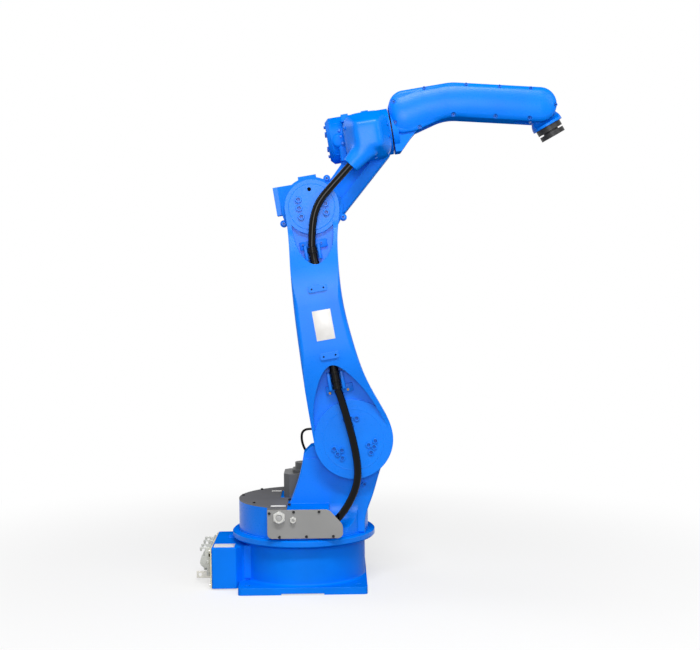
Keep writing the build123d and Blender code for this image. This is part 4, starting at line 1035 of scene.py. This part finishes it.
@dataclass
class Base:
    """The floor-mounted base casting with its connectors and earth tab."""

    screws: Fasteners
    body: str = "base"
    panel_x: float = -287.0
    panel_half: float = 121.0
    plug_y: float = 55.0
    plug_z: float = 78.0
    housing_size: Place = (17.0, 44.0, 92.0)
    casting_edge: float = 4.0
    flange_thick: float = 5.0
    flange_lap: Spot = (8.0, 14.0)
    rib_wide: float = 3.0
    rib_trim: Spot = (6.0, 18.0)
    hood_size: Place = (9.0, 34.0, 44.0)
    hood_z: float = 70.0
    hood_rim: float = 4.0
    hood_recess: Spot = (1.5, 2.5)
    lever_gap: float = 24.0
    lever_thick: float = 3.0
    lever_outline: tuple[Spot, ...] = (
        (-2, 58), (-24, 58), (-33, 66), (-37, 74), (-34, 88), (-30, 99), (-27, 101), (-26, 95), (-21, 95),
        (-21, 119), (-29, 119), (-30, 111), (-35, 111), (-37, 121), (-35, 124), (-20, 124.5), (-2, 121),
    )
    pivot_spot: Spot = (-13.0, 76.0)
    pivot: Profile = ((5.5, -2.5), (5.5, 2.2), (4.6, 2.8), (2.4, 2.8), (2.4, 2.2))
    stud_spot: Spot = (-9.0, 108.0)
    stud: Profile = ((4.0, -2.5), (4.0, 2.2), (3.2, 2.8))
    latch_size: Place = (5.0, 2.0, 9.0)
    latch_spot: Place = (-7.0, -1.2, 98.0)
    panel_screw: Place = (8.5, 4.5, 4.0)
    screw_rows: Spot = (14.0, 121.0)
    plate_size: Spot = (64.0, 50.0)
    plate_spot: Place = (-245.0, -97.0, 131.3)

    def build(self) -> None:
        """Dresses the base and builds its connectors."""
        finish_nodes(AZURE_CASTING, "base_casting")
        finish_nodes(GROUND_STEEL, "swing_reducer")
        finish_nodes(GASKET_CREAM, "connector_panel")
        finish_nodes(ZINC, "earth_tab")
        for side, word in ((-1, "near"), (1, "far")):
            self.add_connector(side * self.plug_y, word)
        self.add_panel_screws()
        plate = film_plate("base_blank_plate", self.plate_size, self.plate_spot)
        dress(shade(plate), FILM, self.body)

    def add_connector(self, y: float, word: str) -> None:
        """Builds one heavy-duty connector: housing, hood and its two locking levers.

        Args:
            y: the connector's middle on the Y axis in millimetres.
            word: near or far.
        """
        deep, wide, tall = self.housing_size
        x, z = self.panel_x - deep / 2, self.plug_z
        housing = block(f"connector_housing_{word}", self.housing_size, (x, y, z), self.casting_edge)
        lap = (self.flange_thick, wide + self.flange_lap[0], tall + self.flange_lap[1])
        flange = block("flange", lap, (self.panel_x - self.flange_thick / 2, y, z), edge=2.0)
        rib = (deep - self.rib_trim[0], self.rib_wide, tall - self.rib_trim[1])
        ribs = [block("rib", rib, (x, y + side * (wide / 2 + 1), z), edge=1.2) for side in (-1, 1)]
        housing = shade(join([housing, flange, *ribs], housing.name))
        dress(housing, DIE_CAST, self.body)
        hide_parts(f"plug_{word}")
        lip = self.panel_x - deep - self.hood_size[0] / 2
        hood = block(f"connector_hood_{word}", self.hood_size, (lip, y, self.hood_z), self.casting_edge)
        edit(hood)
        pick(hood, "FACE", lambda mid, out: out.x < -ALIGNED)
        bpy.ops.mesh.inset(thickness=self.hood_rim * MM, depth=0)
        bpy.ops.mesh.inset(thickness=self.hood_recess[0] * MM, depth=-self.hood_recess[1] * MM)
        clear()
        dress(shade(hood), DIE_CAST, self.body)
        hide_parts(f"hood_{word}")
        levers = [self.add_lever(y, side) for side in (-1, 1)]
        dress(shade(join(levers, f"locking_levers_{word}"), angle=30), DIE_CAST, self.body)
        ahead, aside, up = self.latch_spot
        spot = (self.panel_x + ahead, y - self.lever_gap + aside, up)
        latch = block(f"latch_window_{word}", self.latch_size, spot, edge=0.6, segments=2)
        dress(shade(latch), FITTING_BLACK, self.body)

    def add_lever(self, y: float, side: int) -> Piece:
        """Makes one hooked locking lever with its pivot and stud.

        Args:
            y: the connector's middle on the Y axis.
            side: -1 for its near cheek, 1 for its far one.

        Returns:
            The lever.
        """
        cheek = y + side * self.lever_gap
        lever = plate_from("lever", self.lever_outline, self.lever_thick, edge=0.6)
        lever.data.transform(facing((self.panel_x, cheek, 0), NEAR))
        pivot, stud = turn("pivot", self.pivot, sides=24), turn("stud", self.stud, sides=24)
        for pin, (x, z) in ((pivot, self.pivot_spot), (stud, self.stud_spot)):
            pin.data.transform(facing((self.panel_x + x, cheek, z), (0, side, 0)))
        return join((lever, pivot, stud), "lever")

    def add_panel_screws(self) -> None:
        """Puts the screws round the connector panel."""
        screw = self.screws.cap_screw("panel_screw", *self.panel_screw)
        spots = [(side * self.panel_half, z) for side in (-1, 0, 1) for z in self.screw_rows]
        places = [facing((self.panel_x, y, z), BACK) for y, z in spots]
        dress(scatter(screw, "panel_screws", places), ZINC, self.body)


@dataclass
class Turntable:
    """The turning column with its covers, motors, cable glands and lower hose."""

    screws: Fasteners
    body: str = "turntable"
    cover_face: float = 220.0
    deck_top: float = 266.0
    cover_spots: tuple[Spot, ...] = (
        (-97.5, 252.5), (-24.0, 256.0), (52.5, 256.0), (-67.5, 180.5), (13.9, 180.9), (95.0, 181.0),
    )
    deck_spots: tuple[Spot, ...] = (
        (-193, 27), (-140, 135), (-150, -113), (-42, -64), (-39, -156), (0, 194), (140, 135), (190, 30),
    )
    hose_route: tuple[Spot, ...] = (
        (30, 196), (91, 196), (166, 304), (175, 402), (122, 603), (112.6, 621.3),
    )
    hose_bend: tuple[Spot, Spot] = ((110, 230), (118, 600))
    cable_route: tuple[Place, ...] = (
        (95, 126, 462), (40, 126, 466), (-4, 127, 464), (-9, 130, 430), (4, 135, 392), (42, 145, 335),
        (44, 146, 266),
    )
    cable_radius: float = 4.0
    boot: Profile = (
        (11, -2), (11, 6), (9, 7.5), (9, 13), (7.5, 15), (6.5, 24), (5, 30), (4.2, 30), (4.2, 20),
    )
    deck_gland: Profile = ((9, -1), (9, 6), (7.5, 7.5), (7.5, 13), (5.2, 16), (4.2, 16), (4.2, 10))
    glands: tuple[tuple[str, Spot, float, float, float], ...] = (
        ("large", (-68, 240), 40.0, 16.0, 11.0), ("small", (-26, 232), 21.0, 12.0, 5.0),
    )
    nut_shares: Profile = ((1.0, 0.0), (1.0, 0.5), (0.93, 0.6))
    collar_shares: Profile = ((0.8, 0.5), (0.8, 0.9), (0.74, 1.0))
    bore_steps: Profile = ((1.0, 0.0), (1.0, 4.0), (0.9, 4.0), (0.8, 3.4))
    seal_steps: Profile = ((0.86, 4.4), (0.86, 3.0), (0.78, 2.6))
    plates: tuple[tuple[Spot, Spot], ...] = (((32, 12), (-90, 104)), ((46, 22), (-72, -172)))
    plate_lift: float = 0.3
    cover_screw: Place = (8.5, 4.5, 4.0)
    column_bolt: Place = (16.0, 7.0, 8.0)
    column_bolt_spot: Place = (192.4, -110.0, 320.1)

    def build(self) -> None:
        """Dresses the turntable and builds its fittings, hose and cable."""
        finish_nodes(AZURE, "swing_casting")
        finish_nodes(DECK_GREY, "deck_cover")
        finish_nodes(COVER_GREY, "side_cover")
        finish_nodes(MOTOR_GREY, "swing_motor", "shoulder_motor")
        finish_nodes(MOTOR_CAP, "swing_encoder", "shoulder_encoder")
        finish_nodes(GROUND_STEEL, "shoulder_reducer")
        self.add_screws()
        for gland in self.glands:
            self.add_gland(*gland)
        self.add_plates()
        self.add_hose()
        self.add_cable()

    def add_screws(self) -> None:
        """Puts the black screws on the covers and the painted bolt on the column."""
        small = self.screws.cap_screw("cover_screw", *self.cover_screw)
        places = [facing((x, -self.cover_face, z), NEAR) for x, z in self.cover_spots]
        dress(scatter(small, "side_cover_screws", places), BLACK_OXIDE, self.body)
        places = [facing((x, y, self.deck_top), UP, FAR) for x, y in self.deck_spots]
        dress(scatter(small, "deck_screws", places), BLACK_OXIDE, self.body)
        large = self.screws.cap_screw("column_bolt", *self.column_bolt)
        bolt = scatter(large, "column_bolt", [facing(self.column_bolt_spot, NEAR)])
        dress(bolt, AZURE_SCREW, self.body)

    def add_gland(self, word: str, spot: Spot, corners: float, height: float, bore: float) -> None:
        """Builds one cable gland: hexagon nut, stepped collar and a blanking disc in its bore.

        Args:
            word: large or small.
            spot: its x and z on the side cover.
            corners: its nut's width across the corners.
            height: how far it stands out.
            bore: the radius of its bore.
        """
        wide = corners / 2
        place = facing((spot[0], -self.cover_face, spot[1]), NEAR)
        nut = turn("nut", [(wide * a, height * b) for a, b in self.nut_shares], sides=6)
        shell = [(wide * a, height * b) for a, b in self.collar_shares]
        collar = turn("collar", shell + [(bore * a, height - b) for a, b in self.bore_steps])
        gland = shade(join((nut, collar), f"cable_gland_{word}"), angle=30)
        gland.data.transform(place)
        dress(gland, GLAND_WHITE, self.body)
        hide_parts(f"gland_{word}")
        disc = turn("disc", [(bore * a, height - b) for a, b in self.seal_steps])
        disc.name = f"gland_disc_{word}"
        disc.data.transform(place)
        dress(shade(disc), GLAND_SEAL, self.body)

    def add_plates(self) -> None:
        """Lays the two blank film plates on the deck."""
        top = self.deck_top + self.plate_lift
        plates = [film_plate("plate", size, (*spot, top)) for size, spot in self.plates]
        dress(shade(join(plates, "deck_blank_plates")), FILM, self.body)

    def add_hose(self) -> None:
        """Draws the lower hose on its route from the turntable to the arm."""
        hose = draw_tube("lower_hose", [(x, -HOSE_DEPTH, z) for x, z in self.hose_route], HOSE_RADIUS)
        coat(hose, HOSE_BLACK)
        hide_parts("hose_lower")
        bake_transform(hose)
        LOG.info("lower_hose bends from %s to lower_arm", self.body)

    def add_cable(self) -> None:
        """Draws the motor cable with its boot on the motor and its gland on the deck."""
        cable = draw_tube("shoulder_motor_cable", self.cable_route, self.cable_radius)
        dress(cable, HOSE_BLACK, self.body)
        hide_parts("motor_cable")
        boot, gland = turn("boot", self.boot), turn("gland", self.deck_gland, sides=24)
        boot.data.transform(facing(self.cable_route[0], BACK))
        gland.data.transform(facing(self.cable_route[-1], UP, FAR))
        dress(shade(join((boot, gland), "cable_boots")), FITTING_BLACK, self.body)


@dataclass
class LowerArm:
    """The lower arm casting with its bolted discs, hose fittings and clamps."""

    screws: Fasteners
    body: str = "lower_arm"
    disc_radii: Spot = (94.0, 71.0)
    disc_rim: Profile = ((0.0, -1.0), (0.0, 0.5), (0.6, 0.9), (1.4, 0.9), (2.0, 0.5))
    shoulder_clusters: Spot = (66.0, 48.5)
    cluster_angles: tuple[float, ...] = (-148.0, -30.0, 88.0)
    cluster_spread: float = 16.5
    shoulder_bolt: Place = (18.0, 6.0, 10.0)
    elbow_bolt: Place = (20.5, 7.0, 10.5)
    elbow_bolts: tuple[Spot, ...] = (
        (-36.5, 28.5), (-38.5, 2.5), (-36.5, -24.6), (40.5, 28.5), (42.5, 2.5), (40.5, -24.6),
    )
    bracket_screw: Place = (7.5, 3.0, 3.5)
    bracket_face: float = POCKET_FLOOR + 8
    lower_screws: tuple[Spot, ...] = ((-46, 152), (10, 154))
    upper_screws: tuple[Spot, ...] = ((-47, 611), (9.5, 608))
    grub: Profile = ((2.7, -1), (2.7, 0.5), (2.3, 0.8), (1.5, 0.8), (1.5, 0.3))
    grub_spots: tuple[Spot, ...] = ((-44, 268), (-8, 268), (-44, 474), (-8, 474))
    grub_face: float = ARM_SKIN + 4
    plug: Profile = ((6.0, -1), (6.0, 1.2), (5.6, 1.6), (4.4, 1.6), (4.2, 1.3))
    plug_spot: Spot = (1.8, 53.7)
    clamps: tuple[tuple[str, float, float], ...] = (("lower", 160, 55), ("upper", 607, -46))
    clamp_plate: Place = (84.0, 26.0, 16.0)
    clamp_corner: float = 6.0
    clamp_across: float = -15.0
    cheek: Spot = (9.5, 34.0)
    cheek_gap: float = 20.4
    cheek_lift: float = 15.0
    fittings: tuple[tuple[str, float, int, Profile], ...] = (
        (
            "lower",
            162.0,
            1,
            (
                (12.2, 0), (14.0, 1.5), (14.0, 8), (12.6, 9.5), (12.6, 22), (15, 24), (15, 30), (13, 32),
                (13, 48), (15, 50), (15, 57), (13.6, 59), (13.6, 85),
            ),
        ),
        (
            "upper",
            600.0,
            -1,
            (
                (12.0, 0), (13.2, 1.2), (13.2, 11), (15, 13), (15, 17.5), (13, 19.5), (12.2, 30), (12.6, 42),
                (15, 52), (15, 89),
            ),
        ),
    )
    plate_size: Spot = (56.0, 91.0)
    plate_spot: Spot = (-27.5, 362.5)
    plate_lift: float = 0.2

    def spot(self, across: float, along: float, depth: float) -> Place:
        """Returns a point given across and along the arm from the shoulder."""
        return tilted(SHOULDER, ARM_LEAN, across, along, depth)

    def build(self) -> None:
        """Dresses the arm and builds its discs, bolts, fittings, clamps and plate."""
        finish_nodes(AZURE, "lower_arm")
        self.add_discs()
        self.add_bolts()
        self.add_set_screws()
        for word, along, way, profile in self.fittings:
            self.add_fitting(word, self.spot(HOSE_ACROSS, along, HOSE_DEPTH), way, profile)
        for clamp in self.clamps:
            self.add_clamp(*clamp)
        self.add_plate()

    def add_clamp(self, word: str, along: float, cheek: float) -> None:
        """Builds one hose clamp: a plate with rounded corners and the two cheeks beside the fitting.

        Args:
            word: lower or upper.
            along: the plate's middle along the arm from the shoulder.
            cheek: the cheeks' length, less than 0 if they run down the arm.
        """
        plate = block("plate", self.clamp_plate, (0, 0, 0), edge=1.0, segments=2)
        edit(plate)
        pick(plate, "EDGE", lambda mid, way: abs(way.z) > ALIGNED)
        bpy.ops.mesh.bevel(offset=self.clamp_corner * MM, segments=5, affect="EDGES")
        clear()
        aside = HOSE_ACROSS - self.clamp_across
        size = (self.cheek[0], abs(cheek), self.cheek[1])
        cheeks = [
            block("cheek", size, (aside + side * self.cheek_gap, cheek / 2, self.cheek_lift), edge=1.6)
            for side in (-1, 1)
        ]
        clamp = join([plate, *cheeks], f"hose_clamp_{word}")
        lean = Matrix.Rotation(math.radians(ARM_LEAN), 4, "Z")
        clamp.data.transform(facing(self.spot(self.clamp_across, along, POCKET_FLOOR), NEAR) @ lean)
        dress(shade(clamp), AZURE_BRACKET, self.body)
        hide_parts(f"clamp_{word}")

    def add_discs(self) -> None:
        """Lays the thin painted cap discs whose rims show as faint rings."""
        shoulder, elbow = (
            turn("disc", [(radius - inset, height) for inset, height in self.disc_rim], sides=96)
            for radius in self.disc_radii
        )
        shoulder.data.transform(facing(self.spot(0, 0, HUB_FACE), NEAR))
        elbow.data.transform(facing((ELBOW[0], -HUB_FACE, ELBOW[1]), NEAR))
        dress(shade(join((shoulder, elbow), "hub_caps"), angle=15), AZURE, self.body)

    def add_bolts(self) -> None:
        """Puts the painted bolts on both hubs and the screws on the hose clamps."""
        outer, inner = self.shoulder_clusters
        spread = self.cluster_spread
        spots: list[Spot] = []
        for angle in self.cluster_angles:
            for reach, swing in ((outer, -spread), (outer, 0), (outer, spread), (inner, 0)):
                bearing = math.radians(angle + swing)
                spots.append((reach * math.cos(bearing), reach * math.sin(bearing)))
        places = [facing(self.spot(a, b, HUB_FACE), NEAR) for a, b in spots]
        bolt = self.screws.cap_screw("shoulder_bolt", *self.shoulder_bolt)
        shoulder = scatter(bolt, "shoulder_bolts", places)
        places = [facing(tilted(ELBOW, ARM_LEAN, a, b, HUB_FACE), NEAR) for a, b in self.elbow_bolts]
        bolt = self.screws.cap_screw("elbow_bolt", *self.elbow_bolt)
        elbow = scatter(bolt, "elbow_bolts", places)
        dress(join((shoulder, elbow), "hub_bolts"), AZURE_SCREW, self.body)
        small = self.screws.cap_screw("bracket_screw", *self.bracket_screw)
        places = [facing(self.spot(a, b, self.bracket_face), NEAR) for a, b in self.lower_screws]
        dress(scatter(small, "lower_bracket_screws", places), BRASS, self.body)
        places = [facing(self.spot(a, b, self.bracket_face), NEAR) for a, b in self.upper_screws]
        dress(scatter(small, "upper_bracket_screws", places), AZURE_SCREW, self.body)

    def add_set_screws(self) -> None:
        """Puts the set screws on the boss plates and the plug on the elbow's disc, black as painted hole
        shade.
        """
        grub = turn("grub", self.grub, sides=16)
        self.screws.put_by(shade(grub, angle=30))
        places = [facing(self.spot(a, b, self.grub_face), NEAR) for a, b in self.grub_spots]
        plug = turn("plug", self.plug, sides=32)
        plug.data.transform(facing(tilted(ELBOW, ARM_LEAN, *self.plug_spot, HUB_FACE), NEAR))
        grubs = scatter(grub, "grubs", places)
        dress(shade(join((grubs, plug), "grub_screws_and_plug")), HOLE_SHADE_BLACK, self.body)

    def add_fitting(self, word: str, seat: Place, way: int, profile: Profile) -> None:
        """Builds one ringed hose fitting.

        Args:
            word: lower or upper.
            seat: where the hose enters it.
            way: 1 if it runs up the arm, -1 if it runs down.
            profile: its turned profile from the hose end.
        """
        lean = math.radians(ARM_LEAN)
        run = (-way * math.sin(lean), 0.0, way * math.cos(lean))
        fitting = turn(f"hose_fitting_{word}", profile, sides=40)
        fitting.data.transform(facing(seat, run, NEAR))
        dress(shade(fitting, angle=30), FITTING_BLACK, self.body)
        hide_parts(f"fitting_{word}")

    def add_plate(self) -> None:
        """Lays the blank film plate on the arm's skin."""
        plate = film_plate("arm_blank_plate", self.plate_size, (0, 0, self.plate_lift))
        lean = Matrix.Rotation(math.radians(ARM_LEAN), 4, "Z")
        plate.data.transform(facing(self.spot(*self.plate_spot, ARM_SKIN), NEAR) @ lean)
        dress(shade(plate), FILM, self.body)


@dataclass
class Elbow:
    """The elbow casting with the roll drive's covers, the elbow motor and the upper hose."""

    screws: Fasteners
    body: str = "elbow"
    cover_screws: tuple[Spot, ...] = ((139, 217), (268, 209), (268, 172), (218, 117))
    lug_reach: float = 100.0
    lug_angles: tuple[float, ...] = (53.5, -26.7, -106.7, 200.0)
    lug_face: float = 110.0
    hose_route: tuple[Spot, ...] = (
        (40.3, 1053.3), (41, 1100), (48, 1152), (65, 1193), (100, 1234), (179.9, 1320),
    )
    hose_bend: tuple[Spot, Spot] = ((40, 1066), (140, 1278))
    voxel: float = 2.5
    mouth: Place = (159.5, -HOSE_DEPTH, 1297.9)
    mouth_reach: float = 26.0
    soft_reach: float = 40.0
    soft_rounds: int = 150
    cover_seat: float = 95.0
    outside: float = 260.0
    cover_screw: Place = (9.0, 4.0, 4.0)
    lug_bolt: Place = (13.0, 6.0, 6.0)
    cap_bolt: Spot = (8.0, 5.5)
    cap_bolt_count: int = 6
    cap_bolt_ring: float = 46.0
    cap_face: float = 82.0
    boss: Profile = ((22, -14), (22, 0), (21, 3), (18, 5.4), (12, 6.6), (5, 7))
    boss_spot: Place = (116.0, 192.0, 70.0)
    boss_bolts: tuple[Place, ...] = ((124, 203, 73), (127, 181, 77), (122, 222, 68))
    rib_size: Place = (22.0, 5.0, 5.0)
    rib_spots: tuple[Place, ...] = ((112, 247, 52), (112, 152, 52))

    def spot(self, across: float, along: float, depth: float) -> Place:
        """Returns a point given in the tilted frame of the elbow axis."""
        return tilted(ELBOW, FOREARM_TILT, across, along, depth)

    def build(self) -> None:
        """Dresses the elbow and builds its soft cover, screws and hose."""
        finish_nodes(AZURE, "elbow_box")
        finish_nodes(AZURE_CASTING, "elbow_casting", "roll_rear_cover")
        finish_nodes(MOTOR_GREY, "elbow_motor")
        finish_nodes(MOTOR_CAP, "elbow_encoder")
        finish_nodes(DARK_STEEL, "elbow_reducer", "roll_reducer")
        self.add_screws(self.add_soft_cover())
        self.add_rear_details()
        self.add_hose()

    def softness(self, spot: Vector) -> float:
        """Gives how soft the roll drive's cover is at a point: firm at its seat and its mouth.

        Args:
            spot: the point in metres.

        Returns:
            From 0, kept, to 1, smoothed.
        """
        if spot.y > -self.cover_seat * MM:
            return 0.0
        away = (spot - Vector(self.mouth) * MM).length / MM
        return min(1.0, max(0.0, (away - self.mouth_reach) / self.soft_reach))

    def add_soft_cover(self) -> Piece:
        """Softens the roll drive's cover, so that its spout flows into its crown as a moulding does.

        Returns:
            The cover.
        """
        cover = from_node("roll_side_cover", "roll_drive_cover")
        soften(cover, self.voxel, self.softness, self.soft_rounds)
        cover.vertex_groups.clear()
        dress(cover, AZURE, self.body)
        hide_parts("roll_side_cover")
        return cover

    def add_screws(self, cover: Piece) -> None:
        """Puts the screws on the roll drive's cover and on the lugs.

        Args:
            cover: the finished cover, whose surface the screws sit on.
        """
        small = self.screws.cap_screw("gear_cover_screw", *self.cover_screw)
        places = [on_surface(cover, self.spot(u, n, self.outside), FAR) for u, n in self.cover_screws]
        dress(scatter(small, "roll_cover_screws", places), AZURE_SCREW, self.body)
        lug, reach = self.screws.cap_screw("lug_bolt", *self.lug_bolt), self.lug_reach
        bearings = [math.radians(angle) for angle in self.lug_angles]
        spots = [self.spot(reach * math.cos(b), reach * math.sin(b), self.lug_face) for b in bearings]
        places = [facing(spot, NEAR) for spot in spots]
        dress(scatter(lug, "lug_bolts", places), AZURE_SCREW, self.body)

    def add_rear_details(self) -> None:
        """Puts the bolts and ribs on the rear cap, and the bolted bearing boss between it and the cover."""
        tilt = math.radians(FOREARM_TILT)
        rear = (-math.cos(tilt), 0.0, -math.sin(tilt))
        ring, step = self.cap_bolt_ring, 360 / self.cap_bolt_count
        bearings = [math.radians(step * (i + 0.5)) for i in range(self.cap_bolt_count)]
        spots = [(self.cap_face, ring * math.sin(b), ring * math.cos(b)) for b in bearings]
        places = [facing(tilted(ROLL, FOREARM_TILT, *spot), rear) for spot in spots]
        bolt = self.screws.hex_bolt("cap_bolt", *self.cap_bolt)
        places += [facing(self.spot(*spot), NEAR) for spot in self.boss_bolts]
        dress(scatter(bolt, "rear_cap_bolts", places), AZURE_SCREW, self.body)
        boss = turn("boss", self.boss)
        boss.data.transform(facing(self.spot(*self.boss_spot), NEAR))
        ribs = [block("rib", self.rib_size, (0, 0, 0), edge=2.0) for _ in self.rib_spots]
        for rib, spot in zip(ribs, self.rib_spots):
            rib.data.transform(facing(self.spot(*spot), NEAR) @ Matrix.Rotation(tilt, 4, "Z"))
        dress(shade(join([boss, *ribs], "bearing_boss_and_ribs")), AZURE_CASTING, self.body)

    def add_hose(self) -> None:
        """Draws the upper hose on its route from the arm to the elbow."""
        hose = draw_tube("upper_hose", [(x, -HOSE_DEPTH, z) for x, z in self.hose_route], HOSE_RADIUS)
        coat(hose, HOSE_BLACK)
        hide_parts("hose_upper")
        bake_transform(hose)
        LOG.info("upper_hose bends from lower_arm to %s", self.body)


@dataclass
class Forearm:
    """The long forearm casting with its two screwed covers."""

    screws: Fasteners
    body: str = "forearm"
    cover_face: float = 72.0
    seat: float = 57.0
    notch: Spot = (6.8, 40.0)
    screw: Place = (9.5, 5.0, 5.0)
    voxel: float = 2.0
    soft_rounds: int = 24
    casting_face: float = 53.6
    crown_fall: float = 9.0
    half_height: float = 50.0
    middle_line: tuple[Spot, ...] = ((335, 43), (400, 55), (470, 57), (540, 48), (607, 34), (750, 0))
    screw_spots: tuple[Spot, ...] = (
        (302.6, 83), (296.2, 19.2), (370.6, -8.3), (403.9, 109.4), (534, 98.9), (635.5, 75.8),
        (730.4, 54.2), (799, -10), (479.8, 12.5), (607.4, -14.4), (711.4, -38),
    )

    def spot(self, along: float, rise: float, depth: float) -> Place:
        """Returns a point given along and above the forearm's roll axis."""
        return tilted(ROLL, FOREARM_TILT, along, rise, depth)

    def build(self) -> None:
        """Dresses the forearm and builds its notched covers."""
        finish_nodes(AZURE_CASTING, "forearm_casting")
        screw = self.screws.cap_screw("forearm_screw", *self.screw)
        wide, deep = self.notch
        for side, word, out in ((1, "near", NEAR), (-1, "far", FAR)):
            cover = from_node(f"forearm_cover_{word}", f"forearm_side_cover_{word}")
            self.crown(cover, side)
            cutter = turn("notch", ((wide, 0), (wide, deep)), sides=32)
            self.screws.put_by(cutter)
            places = [facing(self.spot(u, n, side * self.seat), out) for u, n in self.screw_spots]
            cut(cover, scatter(cutter, "notches", places))
            dress(shade(cover, angle=30), AZURE, self.body)
            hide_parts(f"forearm_cover_{word}")
            dress(scatter(screw, f"forearm_screws_{word}", places), AZURE_SCREW, self.body)

    def off_middle(self, spot: Vector) -> float:
        """Gives how far a point of a cover is from the cover's middle line, seen from the side.

        Args:
            spot: the point in metres.

        Returns:
            The distance in millimetres.
        """
        flat = Vector((spot.x / MM, spot.z / MM))
        line = [Vector((x, z)) for x, _, z in (self.spot(u, n, 0) for u, n in self.middle_line)]
        shortest = math.inf
        for first, last in zip(line, line[1:]):
            _, share = intersect_point_line(flat, first, last)
            nearest = first.lerp(last, min(1.0, max(0.0, share)))
            shortest = min(shortest, (flat - nearest).length)
        return shortest

    def crown(self, cover: Piece, side: int) -> None:
        """Crowns a cover's face about its middle line, as a moulding is, with its outline kept.

        Args:
            cover: the merged cover.
            side: 1 for the near cover, -1 for the far one.
        """
        foot, reach = self.casting_face * MM, (self.cover_face - self.casting_face) * MM
        rounds = self.soft_rounds
        soften(cover, self.voxel, lambda spot: float(abs(spot.y) > foot), rounds, depth_only=True)
        fall = cover.vertex_groups.new(name="fall")
        for point in cover.data.vertices:
            lift = min(1.0, max(0.0, (abs(point.co.y) - foot) / reach))
            share = min(1.0, self.off_middle(point.co) / self.half_height)
            fall.add([point.index], lift * share**2, "REPLACE")
        drop = side * self.crown_fall * MM
        apply(cover, "DISPLACE", direction="Y", mid_level=0.0, strength=drop, vertex_group="fall")
        cover.vertex_groups.clear()
        shade(cover, angle=40)


@dataclass
class Wrist:
    """The wrist housing, its gear ring and the tool flange."""

    screws: Fasteners
    body: str = "wrist"
    root: float = 37.0
    voxel: float = 1.6
    soft_zone: Spot = (26.0, 60.0)
    soft_rounds: int = 18
    saw_size: Place = (160.0, 160.0, 60.0)
    neck_profile: tuple[Spot, ...] = (
        (38.0, 20.0), (40.0, 34.0), (42.0, 40.0), (45.0, 46.0), (47.8, 52.0), (49.2, 57.0), (49.5, 63.0),
        (49.5, 70.0),
    )
    neck_depths: tuple[float, ...] = (30.0, 32.0, 33.0, 33.0, 33.0, 38.0, 49.5, 49.5)

    def build(self) -> None:
        """Dresses the flange and builds the housing."""
        finish_nodes(DARK_STEEL, "wrist_gear_ring", "tool_flange")
        self.add_housing()

    def add_housing(self) -> None:
        """Gives the wrist housing the neck that flares out to the gear ring, with a soft root.

        The neck's rings are narrowed across the wrist, so that they fit between the forearm's cheeks.
        """
        drop = math.radians(-TOOL_DROP)
        out = Vector((math.cos(drop), 0.0, math.sin(drop)))
        seat = facing((WRIST[0], 0, WRIST[1]), out)
        housing = from_node("wrist_housing", "wrist_cast_housing")
        saw = block("saw", self.saw_size, (0, 0, self.root + self.saw_size[2] / 2), edge=0.2, segments=1)
        saw.data.transform(seat)
        cut(housing, saw)
        neck = turn("neck", self.neck_profile, sides=96)
        edit(neck)
        for (wide, height), depth in zip(self.neck_profile, self.neck_depths):
            pick(neck, "VERT", lambda spot, way: abs(spot.z - height) < TOUCH)
            bpy.ops.transform.resize(value=(depth / wide, 1, 1), center_override=(0, 0, height * MM))
        clear()
        neck.data.transform(seat)
        housing = join((housing, neck), housing.name)
        low, high = (end * MM for end in self.soft_zone)

        def softness(spot: Vector) -> float:
            """Returns 1 for a point in the neck's root and 0 elsewhere."""
            return float(low < (spot - seat.translation).dot(out) < high)

        soften(housing, self.voxel, softness, self.soft_rounds)
        housing.vertex_groups.clear()
        dress(housing, AZURE, self.body)
        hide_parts("wrist_housing")


def main() -> None:
    """Builds the studio and the sub-assemblies in order."""
    logging.basicConfig(level=logging.INFO, format="%(message)s")
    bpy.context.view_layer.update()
    screws = Fasteners()
    Studio().build()
    for assembly in (Base, Turntable, LowerArm, Elbow, Forearm, Wrist):
        assembly(screws).build()
        LOG.info("%s is built", assembly.__name__)
    clear()


if __name__ == "__main__":
    main()
